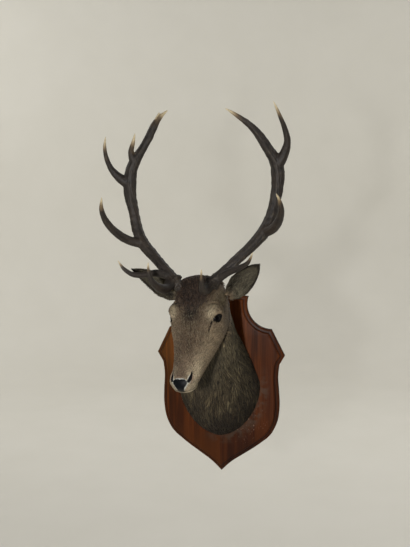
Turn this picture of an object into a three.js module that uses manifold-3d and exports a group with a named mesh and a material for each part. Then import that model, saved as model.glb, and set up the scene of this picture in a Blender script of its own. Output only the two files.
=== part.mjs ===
// Red deer stag head mount on a shield-shaped board, in millimetres, +Z up.
// The board's flat back lies on the plane y = 0 with the origin at its middle, level with the
// board's two side points, and the stag looks out along -Y. Left and right are the stag's own.
import * as THREE from 'three';
import { mergeVertices } from 'three/addons/utils/BufferGeometryUtils.js';
import Module from 'manifold-3d';

const wasm = await Module();
wasm.setup();

// ---------------------------------------------------------------- driving dimensions
const GAP = 0.3; // clearance kept between touching pieces

const BOARD = {
  tipHalfWidth: 208, // the two side points, at z = 0
  cornerHalfWidth: 166,
  cornerHeight: 83.5,
  scoopCentre: [167, 161], // centre of the concave scoop above each corner
  scoopRadius: 78,
  shoulder: [93.5, 187], // where the scoop ends and the top edge starts
  crestHeight: 206,
  flank: [[190, -31], [186, -72], [189, -120], [190, -165], [184, -211], [168, -248]],
  skirt: [[150, -270], [110, -301], [69, -329], [33, -354]],
  footDepth: -385,
};
// The moulded edge, from the back to the raised field: distance in from the outline, and depth.
const BOARD_EDGE = [[0, 0], [0, 12], [4.5, 15], [11, 16], [13.5, 20.5], [17, 22]];

// The head hangs from a point midway between the eyes. In its own frame the nose points down,
// the face looks along -y and the throat lies along +y.
const HEAD_AT = [-0.5, -288.5, 164];
const HEAD_TURN = { yaw: -10.5, pitch: -34.7, roll: -3.6 };

// Head sections from nose to poll: height, face line, throat line, half width, the depth at
// which the section is widest, and the squareness of its face side and its throat side.
const HEAD_SECTIONS = [
  { at: -229, front: -14, back: -5, half: 7, wide: -10, frontPower: 2.0, backPower: 2.0 },
  { at: -226, front: -26, back: 1, half: 20, wide: -10, frontPower: 2.2, backPower: 2.3 },
  { at: -219, front: -34, back: 8, half: 28, wide: -9, frontPower: 2.3, backPower: 2.5 },
  { at: -206, front: -40, back: 16, half: 35.5, wide: -9, frontPower: 2.4, backPower: 2.9 },
  { at: -188, front: -42, back: 27, half: 39, wide: -7, frontPower: 2.4, backPower: 3.1 },
  { at: -158, front: -42, back: 43, half: 43, wide: -2, frontPower: 2.3, backPower: 3.3 },
  { at: -120, front: -42, back: 60, half: 49, wide: 4, frontPower: 2.3, backPower: 3.3 },
  { at: -80, front: -45, back: 80, half: 58, wide: 4, frontPower: 2.4, backPower: 3.2 },
  { at: -40, front: -51, back: 97, half: 69, wide: 0, frontPower: 2.5, backPower: 3.0 },
  { at: 0, front: -58, back: 105, half: 75, wide: -4, frontPower: 2.6, backPower: 2.8 },
  { at: 35, front: -66, back: 103, half: 74, wide: 6, frontPower: 2.5, backPower: 2.3 },
  { at: 66, front: -68, back: 98, half: 74, wide: 14, frontPower: 2.4, backPower: 2.1 },
  { at: 92, front: -58, back: 84, half: 68, wide: 14, frontPower: 2.3, backPower: 2.0 },
  { at: 114, front: -34, back: 62, half: 50, wide: 14, frontPower: 2.1, backPower: 2.0 },
  { at: 124, front: -8, back: 34, half: 20, wide: 12, frontPower: 2.0, backPower: 2.0 },
];
// Swellings over muscle and bone: where, how wide and how high. Each is mirrored.
const HEAD_SWELLINGS = [
  { at: [73, -26, 12], spread: 21, height: 13 }, // brow ridge above the eye
  { at: [72, 2, -10], spread: 24, height: 5 }, // cheekbone under the eye
  { at: [60, 52, 18], spread: 40, height: 5 }, // chewing muscle
  { at: [32, -24, -202], spread: 14, height: 3 }, // nostril wing
];

// Neck sections from the board outward: distance from the wall, top, bottom, half width, the
// height at which the section is widest, and the squareness of its upper and lower sides.
const NECK_SECTIONS = [
  { at: 22, top: 150, bottom: -262, half: 133, wide: -92, topPower: 1.22, bottomPower: 1.8 },
  { at: 48, top: 167, bottom: -256, half: 128, wide: -92, topPower: 1.28, bottomPower: 1.8 },
  { at: 85, top: 190, bottom: -228, half: 113, wide: -84, topPower: 1.42, bottomPower: 1.85 },
  { at: 120, top: 212, bottom: -180, half: 101, wide: -50, topPower: 1.65, bottomPower: 1.9 },
  { at: 155, top: 235, bottom: -115, half: 93, wide: 10, topPower: 1.9, bottomPower: 1.9 },
  { at: 188, top: 250, bottom: -42, half: 88, wide: 72, topPower: 2.0, bottomPower: 2.0 },
  { at: 214, top: 258, bottom: 32, half: 83, wide: 120, topPower: 2.1, bottomPower: 2.0 },
  { at: 236, top: 254, bottom: 92, half: 74, wide: 160, topPower: 2.0, bottomPower: 2.0 },
  { at: 256, top: 236, bottom: 132, half: 54, wide: 180, topPower: 2.0, bottomPower: 2.0 },
];
const NECK_SPLIT = 118; // the neck's base flare is a length of its own, out to here
// The throat plane parts the head from the neck: two points on it, at the nape and the throat.
const THROAT_PLANE = { nape: [-178, 262], throat: [-214, 70] };

const EYE = { radius: 18, at: [57, -14, -9], socketAt: [80, -20, -11], socket: [16, 20, 14] };
const NOSE_PAD = { at: [2, -27, -213], size: [23, 16, 12], tilt: -28 };
// Depth and height of two points of the mouth line, which parts the lower jaw from the head.
const MOUTH = { front: [7, -230], jaw: [78, 40] };

// Ears: the root on the skull, the tip, the way the cup opens, and the leaf's sizes.
const EAR = {
  wall: 7,
  halfWidth: 33,
  rootRadius: 22,
  tipHalfWidth: 1.6,
  bow: 14, // how far the leaf bends back at its middle
  rootSpread: 2.3, // half the angle the crescent covers at the root, and at the tip
  tipSpread: 1.0,
};
const EAR_LEFT = { root: [78, 22, 82], tip: [192, -76, 126], opening: [0.35, -0.8, -0.45] };
const EAR_RIGHT = { root: [-78, 22, 82], tip: [-192, -97, 110], opening: [-0.35, -0.8, -0.45] };

// Antlers. Each branch is a line of points with the radius there, from its root to its tip, and
// split is the point of the beam, above its third tine, where the lower beam ends.
const BURR = { radius: 24, height: 9, shoulder: 5, lip: 4, pedicle: 15, rootDepth: 34 };
const ANTLER_LEFT = {
  beam: [[41, -297, 262, 17], [67, -292, 285, 15.5], [94, -284, 310, 14.5], [129, -270, 344, 15],
    [158, -255, 373, 16.5], [184, -240, 406, 18], [201, -228, 442, 17], [211, -221, 482, 16],
    [219, -216, 527, 17.5], [221, -216, 566, 19.5], [216, -219, 600, 19], [197, -230, 634, 15],
    [176, -246, 670, 13], [153, -260, 699, 9.5], [127, -271, 720, 7.2], [104, -278, 736, 4.7],
    [85, -283, 748, 1.6]],
  split: 6,
  tines: {
    brow: [[40, -300, 260, 14], [37, -330, 251, 14], [36, -366, 254, 11.5], [39, -392, 276, 7],
      [41, -402, 295, 4.4], [42, -406, 317, 1.6]],
    bez: [[62, -296, 277, 12], [97, -310, 298, 10.5], [132, -328, 312, 8.6], [159, -347, 330, 6],
      [174, -360, 358, 1.6]],
    trez: [[185, -240, 402, 14], [216, -268, 417, 13.5], [237, -300, 444, 11.5],
      [247, -332, 472, 8], [245, -355, 497, 5], [239, -372, 515, 1.6]],
    crown_outer: [[218, -217, 588, 18], [240, -226, 622, 13.5], [251, -240, 656, 9.7],
      [246, -258, 691, 7.7], [236, -276, 722, 5.7], [228, -289, 745, 3.8], [221, -296, 761, 1.5]],
  },
};
const ANTLER_RIGHT = {
  beam: [[-66, -282, 264, 17], [-88, -273, 286, 15.5], [-113, -262, 310, 14.5],
    [-145, -240, 337, 16], [-176, -228, 367, 18], [-196, -220, 406, 16], [-210, -211, 462, 15.5],
    [-221, -206, 506, 18], [-223, -203, 550, 20], [-217, -202, 585, 17.5], [-205, -200, 614, 16.5],
    [-185, -194, 646, 12.4], [-164, -186, 684, 12.2], [-151, -179, 714, 11.5], [-136, -173, 737, 8],
    [-112, -167, 759, 1.8]],
  split: 5,
  tines: {
    brow: [[-74, -288, 262, 14], [-82, -325, 250, 14], [-93, -360, 258, 12], [-103, -388, 279, 8.2],
      [-107, -403, 308, 5], [-106, -408, 334, 1.6]],
    bez: [[-88, -280, 282, 12], [-118, -300, 291, 10.2], [-143, -317, 288, 9], [-172, -335, 289, 7.8],
      [-195, -350, 306, 6], [-211, -361, 333, 1.6]],
    trez: [[-176, -228, 368, 14], [-216, -250, 381, 13], [-241, -280, 404, 12],
      [-260, -312, 439, 10], [-264, -336, 475, 7], [-256, -352, 510, 1.6]],
    crown_outer: [[-221, -204, 540, 17], [-254, -214, 565, 13], [-272, -227, 590, 9],
      [-280, -243, 622, 7], [-279, -256, 652, 5.3], [-271, -268, 682, 1.6]],
    crown_inner: [[-208, -202, 598, 13], [-214, -212, 637, 8.6], [-203, -222, 666, 5.8],
      [-194, -230, 691, 1.6]],
    crown_snag: [[-148, -180, 716, 8], [-144, -177, 733, 6], [-137, -172, 753, 1.8]],
  },
};

// Facet counts
const BODY_SIDES = 24;
const BEAM_SIDES = 10;
const TINE_SIDES = 8;
const EAR_ARC = 7;
const EAR_RINGS = 9;
const BURR_SIDES = 14;
const BALL_SIDES = [16, 10];
const HEAD_STEP = 20; // greatest distance between two rings of the head, the neck and an antler
const NECK_STEP = 30;
const TUBE_STEP = 20;
const SCOOP_STEPS = 7;
const CUTTER = 1500; // side of the blocks that part two pieces along a plane

// ---------------------------------------------------------------- materials
function material(colour, roughness) {
  return new THREE.MeshStandardMaterial({ color: colour, roughness, metalness: 0 });
}

const WOOD = [0x5f2d1c, 0.38];
const NECK_HAIR = [0x554e3e, 0.95];
const FACE_HAIR = [0x7d6c58, 0.9];
const EAR_HAIR = [0x6e6a5f, 0.92];
const NOSE_SKIN = [0x0c0e16, 0.25];
const EYE_GLASS = [0x120c08, 0.06];
const ANTLER_BONE = [0x322b28, 0.6];

// ---------------------------------------------------------------- solids and meshes
const group = new THREE.Group();

function addPart(name, solid, [colour, roughness]) {
  const mesh = new THREE.Mesh(toGeometry(solid), material(colour, roughness));
  mesh.name = name;
  group.add(mesh);
}

function toSolid(geometry) {
  const bare = geometry.clone();
  bare.deleteAttribute('normal');
  bare.deleteAttribute('uv');
  const merged = mergeVertices(bare, 1e-4);
  return new wasm.Manifold(new wasm.Mesh({
    numProp: 3,
    vertProperties: new Float32Array(merged.attributes.position.array),
    triVerts: new Uint32Array(merged.index.array),
  }));
}

function toGeometry(solid) {
  const mesh = solid.getMesh();
  const geometry = new THREE.BufferGeometry();
  geometry.setAttribute('position', new THREE.BufferAttribute(mesh.vertProperties, 3));
  geometry.setIndex(new THREE.BufferAttribute(mesh.triVerts, 1));
  geometry.computeVertexNormals();
  return geometry;
}

// Joins rings of equal length into one closed solid, with a fan of triangles on each end.
function loft(rings) {
  const sides = rings[0].length;
  const points = rings.flat();
  const faces = [];
  for (let ring = 0; ring + 1 < rings.length; ring += 1) {
    for (let side = 0; side < sides; side += 1) {
      const next = (side + 1) % sides;
      const a = ring * sides + side;
      const b = ring * sides + next;
      faces.push(a, b, b + sides, a, b + sides, a + sides);
    }
  }
  const addCap = (first, flip) => {
    const middle = new THREE.Vector3();
    for (let side = 0; side < sides; side += 1) middle.add(points[first + side]);
    points.push(middle.divideScalar(sides));
    for (let side = 0; side < sides; side += 1) {
      const edge = [first + side, first + (side + 1) % sides];
      if (flip) edge.reverse();
      faces.push(points.length - 1, ...edge);
    }
  };
  addCap(0, true);
  addCap((rings.length - 1) * sides, false);
  const geometry = new THREE.BufferGeometry().setFromPoints(points);
  geometry.setIndex(faces);
  return outward(toSolid(geometry.toNonIndexed()), rings);
}

// A loft whose rings run the other way round comes out inside out, so it is made again.
function outward(solid, rings) {
  return solid.volume() > 0 ? solid : loft(rings.map((ring) => [...ring].reverse()));
}

// A smooth value from a table of sections, by Catmull-Rom between the two nearest rows.
function sectionAt(table, position) {
  let row = 0;
  while (row + 2 < table.length && table[row + 1].at < position) row += 1;
  const rowAt = (k) => table[THREE.MathUtils.clamp(k, 0, table.length - 1)];
  const [before, from, to, after] = [row - 1, row, row + 1, row + 2].map(rowAt);
  const span = to.at - from.at;
  const u = THREE.MathUtils.clamp((position - from.at) / span, 0, 1);
  const value = {};
  for (const key of Object.keys(from)) {
    const chord = (to[key] - from[key]) / span;
    const slopeIn = row > 0 ? (to[key] - before[key]) / (to.at - before.at) : chord;
    const slopeOut = after === to ? chord : (after[key] - from[key]) / (after.at - from.at);
    value[key] = hermite(from[key], to[key], slopeIn * span, slopeOut * span, u);
  }
  return value;
}

function hermite(from, to, slopeIn, slopeOut, u) {
  const u2 = u * u;
  const u3 = u2 * u;
  const ends = (2 * u3 - 3 * u2 + 1) * from + (3 * u2 - 2 * u3) * to;
  return ends + (u3 - 2 * u2 + u) * slopeIn + (u3 - u2) * slopeOut;
}

// Heights for the rings: every row of the table, and more between rows that are far apart.
function ringPlaces(table, step) {
  const places = [table[0].at];
  for (let row = 1; row < table.length; row += 1) {
    const span = table[row].at - table[row - 1].at;
    const pieces = Math.max(1, Math.round(Math.abs(span) / step));
    for (let k = 1; k <= pieces; k += 1) places.push(table[row - 1].at + (span * k) / pieces);
  }
  return places;
}

// One point of a section made of two half superellipses that meet at its widest depth.
function sectionPoint(angle, half, wide, low, high, lowPower, highPower) {
  const across = Math.cos(angle);
  const along = Math.sin(angle);
  const power = along < 0 ? lowPower : highPower;
  const reach = along < 0 ? wide - low : high - wide;
  return [
    half * Math.sign(across) * Math.abs(across) ** (2 / power),
    wide + reach * Math.sign(along) * Math.abs(along) ** (2 / power),
  ];
}

// ---------------------------------------------------------------- board
function boardOutline() {
  const half = new THREE.Shape();
  half.moveTo(0, BOARD.footDepth);
  half.splineThru([...BOARD.skirt].reverse().map(([x, z]) => new THREE.Vector2(x, z)));
  half.splineThru([...BOARD.flank].reverse().map(([x, z]) => new THREE.Vector2(x, z)));
  half.lineTo(BOARD.tipHalfWidth, 0);
  half.lineTo(BOARD.cornerHalfWidth, BOARD.cornerHeight);
  const [cx, cz] = BOARD.scoopCentre;
  const angleOf = (x, z) => Math.atan2(z - cz, x - cx);
  const start = angleOf(BOARD.cornerHalfWidth, BOARD.cornerHeight);
  const end = angleOf(...BOARD.shoulder) - 2 * Math.PI;
  const turn = (end - start) % (2 * Math.PI);
  for (let k = 1; k <= SCOOP_STEPS; k += 1) {
    const angle = start + (turn * k) / SCOOP_STEPS;
    half.lineTo(cx + BOARD.scoopRadius * Math.cos(angle), cz + BOARD.scoopRadius * Math.sin(angle));
  }
  half.quadraticCurveTo(BOARD.shoulder[0] / 2, BOARD.shoulder[1] + 4, 0, BOARD.crestHeight);
  const right = half.getPoints(1.5);
  const left = right.slice(1, -1).reverse().map((p) => new THREE.Vector2(-p.x, p.y));
  return [...right, ...left];
}

// The outline moved in by a distance, with its corners kept sharp.
function inset(outline, distance) {
  return outline.map((point, k) => {
    const before = outline[(k + outline.length - 1) % outline.length];
    const after = outline[(k + 1) % outline.length];
    const first = point.clone().sub(before).normalize();
    const second = after.clone().sub(point).normalize();
    const normal = new THREE.Vector2(-first.y - second.y, first.x + second.x).normalize();
    const spread = Math.max(0.45, normal.dot(new THREE.Vector2(-first.y, first.x)));
    return point.clone().addScaledVector(normal, distance / spread);
  });
}

function makeBoard() {
  const outline = boardOutline();
  const count = outline.length;
  const layers = BOARD_EDGE.map(([distance, depth]) => (
    inset(outline, distance).map((p) => new THREE.Vector3(p.x, -depth, p.y))));
  const faces = [];
  for (let layer = 0; layer + 1 < layers.length; layer += 1) {
    for (let k = 0; k < count; k += 1) {
      const a = layer * count + k;
      const b = layer * count + (k + 1) % count;
      faces.push(a, b, b + count, a, b + count, a + count);
    }
  }
  const flat = THREE.ShapeUtils.triangulateShape(outline, []);
  const front = (layers.length - 1) * count;
  for (const [a, b, c] of flat) {
    faces.push(a, c, b, front + a, front + b, front + c);
  }
  const geometry = new THREE.BufferGeometry().setFromPoints(layers.flat());
  geometry.setIndex(faces);
  return toSolid(geometry.toNonIndexed());
}

// ---------------------------------------------------------------- head, neck and ears
const headTurn = new THREE.Euler(
  THREE.MathUtils.degToRad(HEAD_TURN.pitch),
  THREE.MathUtils.degToRad(HEAD_TURN.roll),
  THREE.MathUtils.degToRad(HEAD_TURN.yaw),
  'ZXY',
);
const headFrame = new THREE.Matrix4().compose(
  new THREE.Vector3(...HEAD_AT),
  new THREE.Quaternion().setFromEuler(headTurn),
  new THREE.Vector3(1, 1, 1),
);

function placedOnHead(solid) {
  return solid.transform(headFrame.elements);
}

function swellingAt(x, y, z) {
  let rise = 0;
  for (const { at, spread, height } of HEAD_SWELLINGS) {
    const squared = (Math.abs(x) - at[0]) ** 2 + (y - at[1]) ** 2 + (z - at[2]) ** 2;
    rise += height * Math.exp(-squared / spread ** 2);
  }
  return rise;
}

function makeHead(grow) {
  const rings = ringPlaces(HEAD_SECTIONS, HEAD_STEP).map((z) => {
    const s = sectionAt(HEAD_SECTIONS, z);
    const ring = [];
    for (let side = 0; side < BODY_SIDES; side += 1) {
      const angle = (2 * Math.PI * side) / BODY_SIDES;
      const [x, y] = sectionPoint(angle, s.half, s.wide, s.front, s.back, s.frontPower, s.backPower);
      const reach = Math.hypot(x, y - s.wide);
      const factor = 1 + (swellingAt(x, y, z) + grow) / reach;
      ring.push(new THREE.Vector3(x * factor, s.wide + (y - s.wide) * factor, z));
    }
    return ring;
  });
  rings[0].forEach((point) => { point.z -= grow; });
  rings.at(-1).forEach((point) => { point.z += grow; });
  return placedOnHead(loft(rings));
}

function makeNeck() {
  const rings = ringPlaces(NECK_SECTIONS, NECK_STEP).map((distance) => {
    const s = sectionAt(NECK_SECTIONS, distance);
    const ring = [];
    for (let side = 0; side < BODY_SIDES; side += 1) {
      const angle = (2 * Math.PI * side) / BODY_SIDES;
      const [x, z] = sectionPoint(angle, s.half, s.wide, s.bottom, s.top, s.bottomPower, s.topPower);
      ring.push(new THREE.Vector3(x, -distance, z));
    }
    return ring;
  });
  rings[0].forEach((point) => { point.y -= GAP; });
  return loft(rings);
}

// A big block on one side of the plane through a point, square to a direction.
function blockBeyond(point, direction) {
  const turn = new THREE.Quaternion().setFromUnitVectors(new THREE.Vector3(0, 0, 1), direction);
  const middle = point.clone().addScaledVector(direction, (CUTTER + GAP) / 2);
  const frame = new THREE.Matrix4().compose(middle, turn, new THREE.Vector3(1, 1, 1));
  return toSolid(new THREE.BoxGeometry(CUTTER, CUTTER, CUTTER)).transform(frame.elements);
}

function ellipsoid(at, size, tilt, grow) {
  const shape = new THREE.SphereGeometry(1, ...BALL_SIDES);
  shape.scale(size[0] + grow, size[1] + grow, size[2] + grow);
  shape.rotateX(THREE.MathUtils.degToRad(tilt));
  shape.translate(...at);
  return placedOnHead(toSolid(shape));
}

// An ear is a stack of crescents that starts as a closed funnel and opens to a pointed leaf.
function makeEar({ root, tip, opening }) {
  const start = new THREE.Vector3(...root);
  const along = new THREE.Vector3(...tip).sub(start);
  const length = along.length();
  along.normalize();
  const open = new THREE.Vector3(...opening).projectOnPlane(along).normalize();
  const across = new THREE.Vector3().crossVectors(along, open);
  const rings = [];
  for (let k = 0; k <= EAR_RINGS; k += 1) {
    const t = k / EAR_RINGS;
    const halfWidth = earHalfWidth(t);
    const spread = THREE.MathUtils.lerp(EAR.rootSpread, EAR.tipSpread, t ** 0.8);
    const radius = halfWidth / Math.sin(Math.min(spread, Math.PI / 2));
    const wall = Math.min(EAR.wall, halfWidth * 0.55) + (t < 0.12 ? radius * 0.6 : 0);
    const middle = start.clone().addScaledVector(along, length * t);
    middle.addScaledVector(open, -EAR.bow * Math.sin(Math.PI * t) + radius * 0.55);
    const ring = [];
    const addPoint = (angle, r) => ring.push(middle.clone()
      .addScaledVector(across, r * Math.sin(angle)).addScaledVector(open, -r * Math.cos(angle)));
    for (let step = 0; step <= EAR_ARC; step += 1) {
      addPoint(spread * ((2 * step) / EAR_ARC - 1), radius);
    }
    for (let step = EAR_ARC; step >= 0; step -= 1) {
      addPoint(spread * 0.97 * ((2 * step) / EAR_ARC - 1), radius - wall);
    }
    rings.push(ring);
  }
  return placedOnHead(loft(rings));
}

function earHalfWidth(t) {
  const leaf = EAR.halfWidth * Math.sin(Math.PI * Math.min(1, 0.22 + 0.78 * t)) ** 0.75;
  const wide = THREE.MathUtils.lerp(EAR.rootRadius, leaf, Math.min(1, t * 3));
  return Math.max(EAR.tipHalfWidth, wide);
}

// ---------------------------------------------------------------- antlers
// A tube of changing radius along a smooth line through the points of a branch.
function branch(points, sides, grow) {
  const line = points.map(([x, y, z]) => new THREE.Vector3(x, y, z));
  const curve = new THREE.CatmullRomCurve3(line, false, 'centripetal');
  const count = Math.max(3, Math.round(curve.getLength() / TUBE_STEP));
  const frames = curve.computeFrenetFrames(count, false);
  const rings = [];
  for (let k = 0; k <= count; k += 1) {
    const u = curve.getUtoTmapping(k / count);
    const radius = radiusAlong(points, u) + grow;
    rings.push(ringAround(curve.getPoint(u), frames.normals[k], frames.binormals[k], radius, sides));
  }
  return loft(rings);
}

function radiusAlong(points, u) {
  const place = u * (points.length - 1);
  const row = Math.min(points.length - 2, Math.floor(place));
  return THREE.MathUtils.lerp(points[row][3], points[row + 1][3], place - row);
}

function ringAround(place, normal, binormal, radius, sides) {
  const ring = [];
  for (let side = 0; side < sides; side += 1) {
    const angle = (2 * Math.PI * side) / sides;
    ring.push(place.clone().addScaledVector(normal, radius * Math.cos(angle))
      .addScaledVector(binormal, radius * Math.sin(angle)));
  }
  return ring;
}

// The pedicle inside the skull's skin and the burr, a knobbed collar round the antler's root.
function makeBurr(points) {
  const foot = new THREE.Vector3(...points[0].slice(0, 3));
  const second = new THREE.Vector3(...points[1].slice(0, 3));
  const upward = second.sub(foot).normalize();
  const turn = new THREE.Quaternion().setFromUnitVectors(new THREE.Vector3(0, 1, 0), upward);
  const top = BURR.height + BURR.shoulder;
  const profile = [
    [0, -BURR.rootDepth], [BURR.pedicle, -BURR.rootDepth], [BURR.pedicle, -BURR.lip],
    [BURR.radius, 0], [BURR.radius, BURR.height / 2], [BURR.pedicle, top], [0, top],
  ].map(([r, h]) => new THREE.Vector2(r, h));
  const shape = new THREE.LatheGeometry(profile, BURR_SIDES);
  shape.applyMatrix4(new THREE.Matrix4().compose(foot, turn, new THREE.Vector3(1, 1, 1)));
  return toSolid(shape);
}

function makeAntler(side, { beam, split, tines }, skull) {
  const burr = makeBurr(beam);
  const whole = branch(beam, BEAM_SIDES, 0).add(burr).subtract(skull);
  const keepOut = branch(beam, BEAM_SIDES, GAP).add(burr).add(skull);
  const cut = new THREE.Vector3(...beam[split].slice(0, 3));
  const upward = new THREE.Vector3(...beam[split + 1].slice(0, 3)).sub(cut).normalize();
  const lower = whole.intersect(blockBeyond(cut, upward.clone().negate()));
  addPart(`antler_${side}_lower_beam`, largestPiece(lower), ANTLER_BONE);
  addPart(`antler_${side}_upper_beam`, whole.intersect(blockBeyond(cut, upward)), ANTLER_BONE);
  for (const [name, points] of Object.entries(tines)) {
    const tine = branch(points, TINE_SIDES, 0).subtract(keepOut);
    addPart(`antler_${side}_${name}_tine`, largestPiece(tine), ANTLER_BONE);
  }
}

function largestPiece(solid) {
  return solid.decompose().reduce((best, piece) => (piece.volume() > best.volume() ? piece : best));
}

// ---------------------------------------------------------------- assembly
const skull = makeHead(0);
const skullWithGap = makeHead(GAP);
const throatPoint = new THREE.Vector3(0, ...THROAT_PLANE.throat);
const throatRise = new THREE.Vector3(0, ...THROAT_PLANE.nape).sub(throatPoint).normalize();
const wallward = new THREE.Vector3(0, throatRise.z, -throatRise.y);
const outwardFromWall = wallward.clone().negate();
const wholeNeck = makeNeck();
const flesh = skull.add(wholeNeck);

// The lower jaw hinges off along the mouth line in the head's own frame.
function jawBlock(side) {
  const from = new THREE.Vector3(0, ...MOUTH.front);
  const line = new THREE.Vector3(0, ...MOUTH.jaw).sub(from).normalize();
  const throatward = new THREE.Vector3(0, line.z, -line.y);
  return [from.applyMatrix4(headFrame), throatward.multiplyScalar(side).transformDirection(headFrame)];
}

function eyeBall(sign, grow) {
  const [x, y, z] = EYE.at;
  return ellipsoid([sign * x, y, z], [EYE.radius, EYE.radius, EYE.radius], 0, grow);
}

const eyeSides = { left: 1, right: -1 };
let head = flesh.intersect(blockBeyond(throatPoint, outwardFromWall));
const neck = flesh.intersect(blockBeyond(throatPoint, wallward));
for (const sign of Object.values(eyeSides)) {
  const [sx, sy, sz] = EYE.socketAt;
  head = head.subtract(eyeBall(sign, GAP));
  head = head.subtract(ellipsoid([sign * sx, sy, sz], EYE.socket, 0, 0));
}
const nosePad = ellipsoid(NOSE_PAD.at, NOSE_PAD.size, NOSE_PAD.tilt, 0);
head = head.subtract(ellipsoid(NOSE_PAD.at, NOSE_PAD.size, NOSE_PAD.tilt, GAP));

addPart('board', makeBoard(), WOOD);
const neckParting = new THREE.Vector3(0, -NECK_SPLIT, 0);
const towardWall = new THREE.Vector3(0, 1, 0);
const neckBase = neck.intersect(blockBeyond(neckParting, towardWall));
const neckUpper = neck.intersect(blockBeyond(neckParting, towardWall.clone().negate()));
addPart('neck_base', neckBase, NECK_HAIR);
addPart('neck_upper', largestPiece(neckUpper), NECK_HAIR);
addPart('lower_jaw', largestPiece(head.intersect(blockBeyond(...jawBlock(1)))), FACE_HAIR);
addPart('head', largestPiece(head.intersect(blockBeyond(...jawBlock(-1)))), FACE_HAIR);
addPart('nose_pad', nosePad, NOSE_SKIN);
for (const [side, sign] of Object.entries(eyeSides)) {
  addPart(`eye_${side}`, eyeBall(sign, 0), EYE_GLASS);
}
const fleshWithGap = skullWithGap.add(wholeNeck);
addPart('ear_left', largestPiece(makeEar(EAR_LEFT).subtract(fleshWithGap)), EAR_HAIR);
addPart('ear_right', largestPiece(makeEar(EAR_RIGHT).subtract(fleshWithGap)), EAR_HAIR);
makeAntler('left', ANTLER_LEFT, fleshWithGap);
makeAntler('right', ANTLER_RIGHT, fleshWithGap);

export default group;
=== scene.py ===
"""Red deer stag head mount: skin, coat, eyes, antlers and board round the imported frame.

Every table and every shape function works in millimetres in the CAD's frame, with +Z up and the
stag looking out along -Y; a mesh is scaled to metres when it is made. "Head" coordinates have the
origin midway between the eyes, the nose along -z, the face along -y and the stag's left along +x.
"""
import math

import bpy
import numpy as np
from mathutils import Matrix


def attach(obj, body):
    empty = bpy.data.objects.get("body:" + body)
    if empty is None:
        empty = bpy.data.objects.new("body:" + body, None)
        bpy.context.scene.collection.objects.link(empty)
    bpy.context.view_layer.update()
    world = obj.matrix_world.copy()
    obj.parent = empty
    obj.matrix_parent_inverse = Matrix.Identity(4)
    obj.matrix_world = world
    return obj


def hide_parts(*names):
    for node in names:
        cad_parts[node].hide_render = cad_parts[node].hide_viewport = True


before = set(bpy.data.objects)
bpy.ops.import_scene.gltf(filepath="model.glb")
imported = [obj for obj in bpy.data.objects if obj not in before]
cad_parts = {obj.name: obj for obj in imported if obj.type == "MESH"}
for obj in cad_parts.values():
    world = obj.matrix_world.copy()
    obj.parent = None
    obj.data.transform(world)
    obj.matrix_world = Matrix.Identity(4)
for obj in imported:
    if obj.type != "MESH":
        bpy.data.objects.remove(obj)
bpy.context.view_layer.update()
MM = 0.001
BODY = "root"

# ---------------------------------------------------------------- the CAD's numbers
HEAD_AT = np.array([-0.5, -288.5, 164.0])
HEAD_TURN = (-10.5, -34.7, -3.6)  # yaw, pitch, roll
# height, face line, throat line, half width, widest depth, squareness of face and throat sides
HEAD_ROWS = np.array([
    [-229, -14, -5, 7, -10, 2.0, 2.0], [-226, -26, 1, 20, -10, 2.2, 2.3],
    [-219, -34, 8, 28, -9, 2.3, 2.5], [-206, -40, 16, 35.5, -9, 2.4, 2.9],
    [-188, -42, 27, 39, -7, 2.4, 3.1], [-158, -42, 43, 43, -2, 2.3, 3.3],
    [-120, -42, 60, 49, 4, 2.3, 3.3], [-80, -45, 80, 58, 4, 2.4, 3.2],
    [-40, -51, 97, 69, 0, 2.5, 3.0], [0, -58, 105, 75, -4, 2.6, 2.8],
    [35, -66, 103, 74, 6, 2.5, 2.3], [66, -68, 98, 74, 14, 2.4, 2.1],
    [92, -58, 84, 68, 14, 2.3, 2.0], [114, -34, 62, 50, 14, 2.1, 2.0],
    [124, -8, 34, 20, 12, 2.0, 2.0]])
# distance from the wall, top, bottom, half width, widest height, squareness of top and bottom
NECK_ROWS = np.array([
    [22, 150, -262, 133, -92, 1.22, 1.8], [48, 167, -256, 128, -92, 1.28, 1.8],
    [85, 190, -228, 113, -84, 1.42, 1.85], [120, 212, -180, 101, -50, 1.65, 1.9],
    [155, 235, -115, 93, 10, 1.9, 1.9], [188, 250, -42, 88, 72, 2.0, 2.0],
    [214, 258, 32, 83, 120, 2.1, 2.0], [236, 254, 92, 74, 160, 2.0, 2.0],
    [256, 236, 132, 54, 180, 2.0, 2.0]])
# where on the head, reach and height of a swelling (or hollow), mirrored on both sides
SWELLINGS = [
    ((73, -26, 12), 21, 13), ((72, 2, -10), 24, 5), ((60, 52, 18), 40, 5),
    ((32, -24, -202), 14, 3)]
BLEND = 16  # how softly the head and the neck run into each other
EYE_REACH = 34  # the lids lie within this distance of the eye's middle
EYE_AT, EYE_RADIUS = np.array([57.0, -14.0, -9.0]), 18.0
BOARD_FACE = 22.0
BOARD_FACE_GAP = 23.5  # no tuft is rooted nearer the wall than this
EARS = {
    "left": dict(root=(78, 22, 82), tip=(192, -76, 126), opening=(0.35, -0.8, -0.45)),
    "right": dict(root=(-78, 22, 82), tip=(-192, -97, 110), opening=(-0.35, -0.8, -0.45))}


def turn_matrix(yaw, pitch, roll):
    """The head's own directions as columns, from its turns in degrees."""
    z, x, y = (math.radians(a) for a in (yaw, pitch, roll))
    about_z = np.array([[math.cos(z), -math.sin(z), 0], [math.sin(z), math.cos(z), 0], [0, 0, 1]])
    about_x = np.array([[1, 0, 0], [0, math.cos(x), -math.sin(x)], [0, math.sin(x), math.cos(x)]])
    about_y = np.array([[math.cos(y), 0, math.sin(y)], [0, 1, 0], [-math.sin(y), 0, math.cos(y)]])
    return about_z @ about_x @ about_y


HEAD_MATRIX = turn_matrix(*HEAD_TURN)


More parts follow.
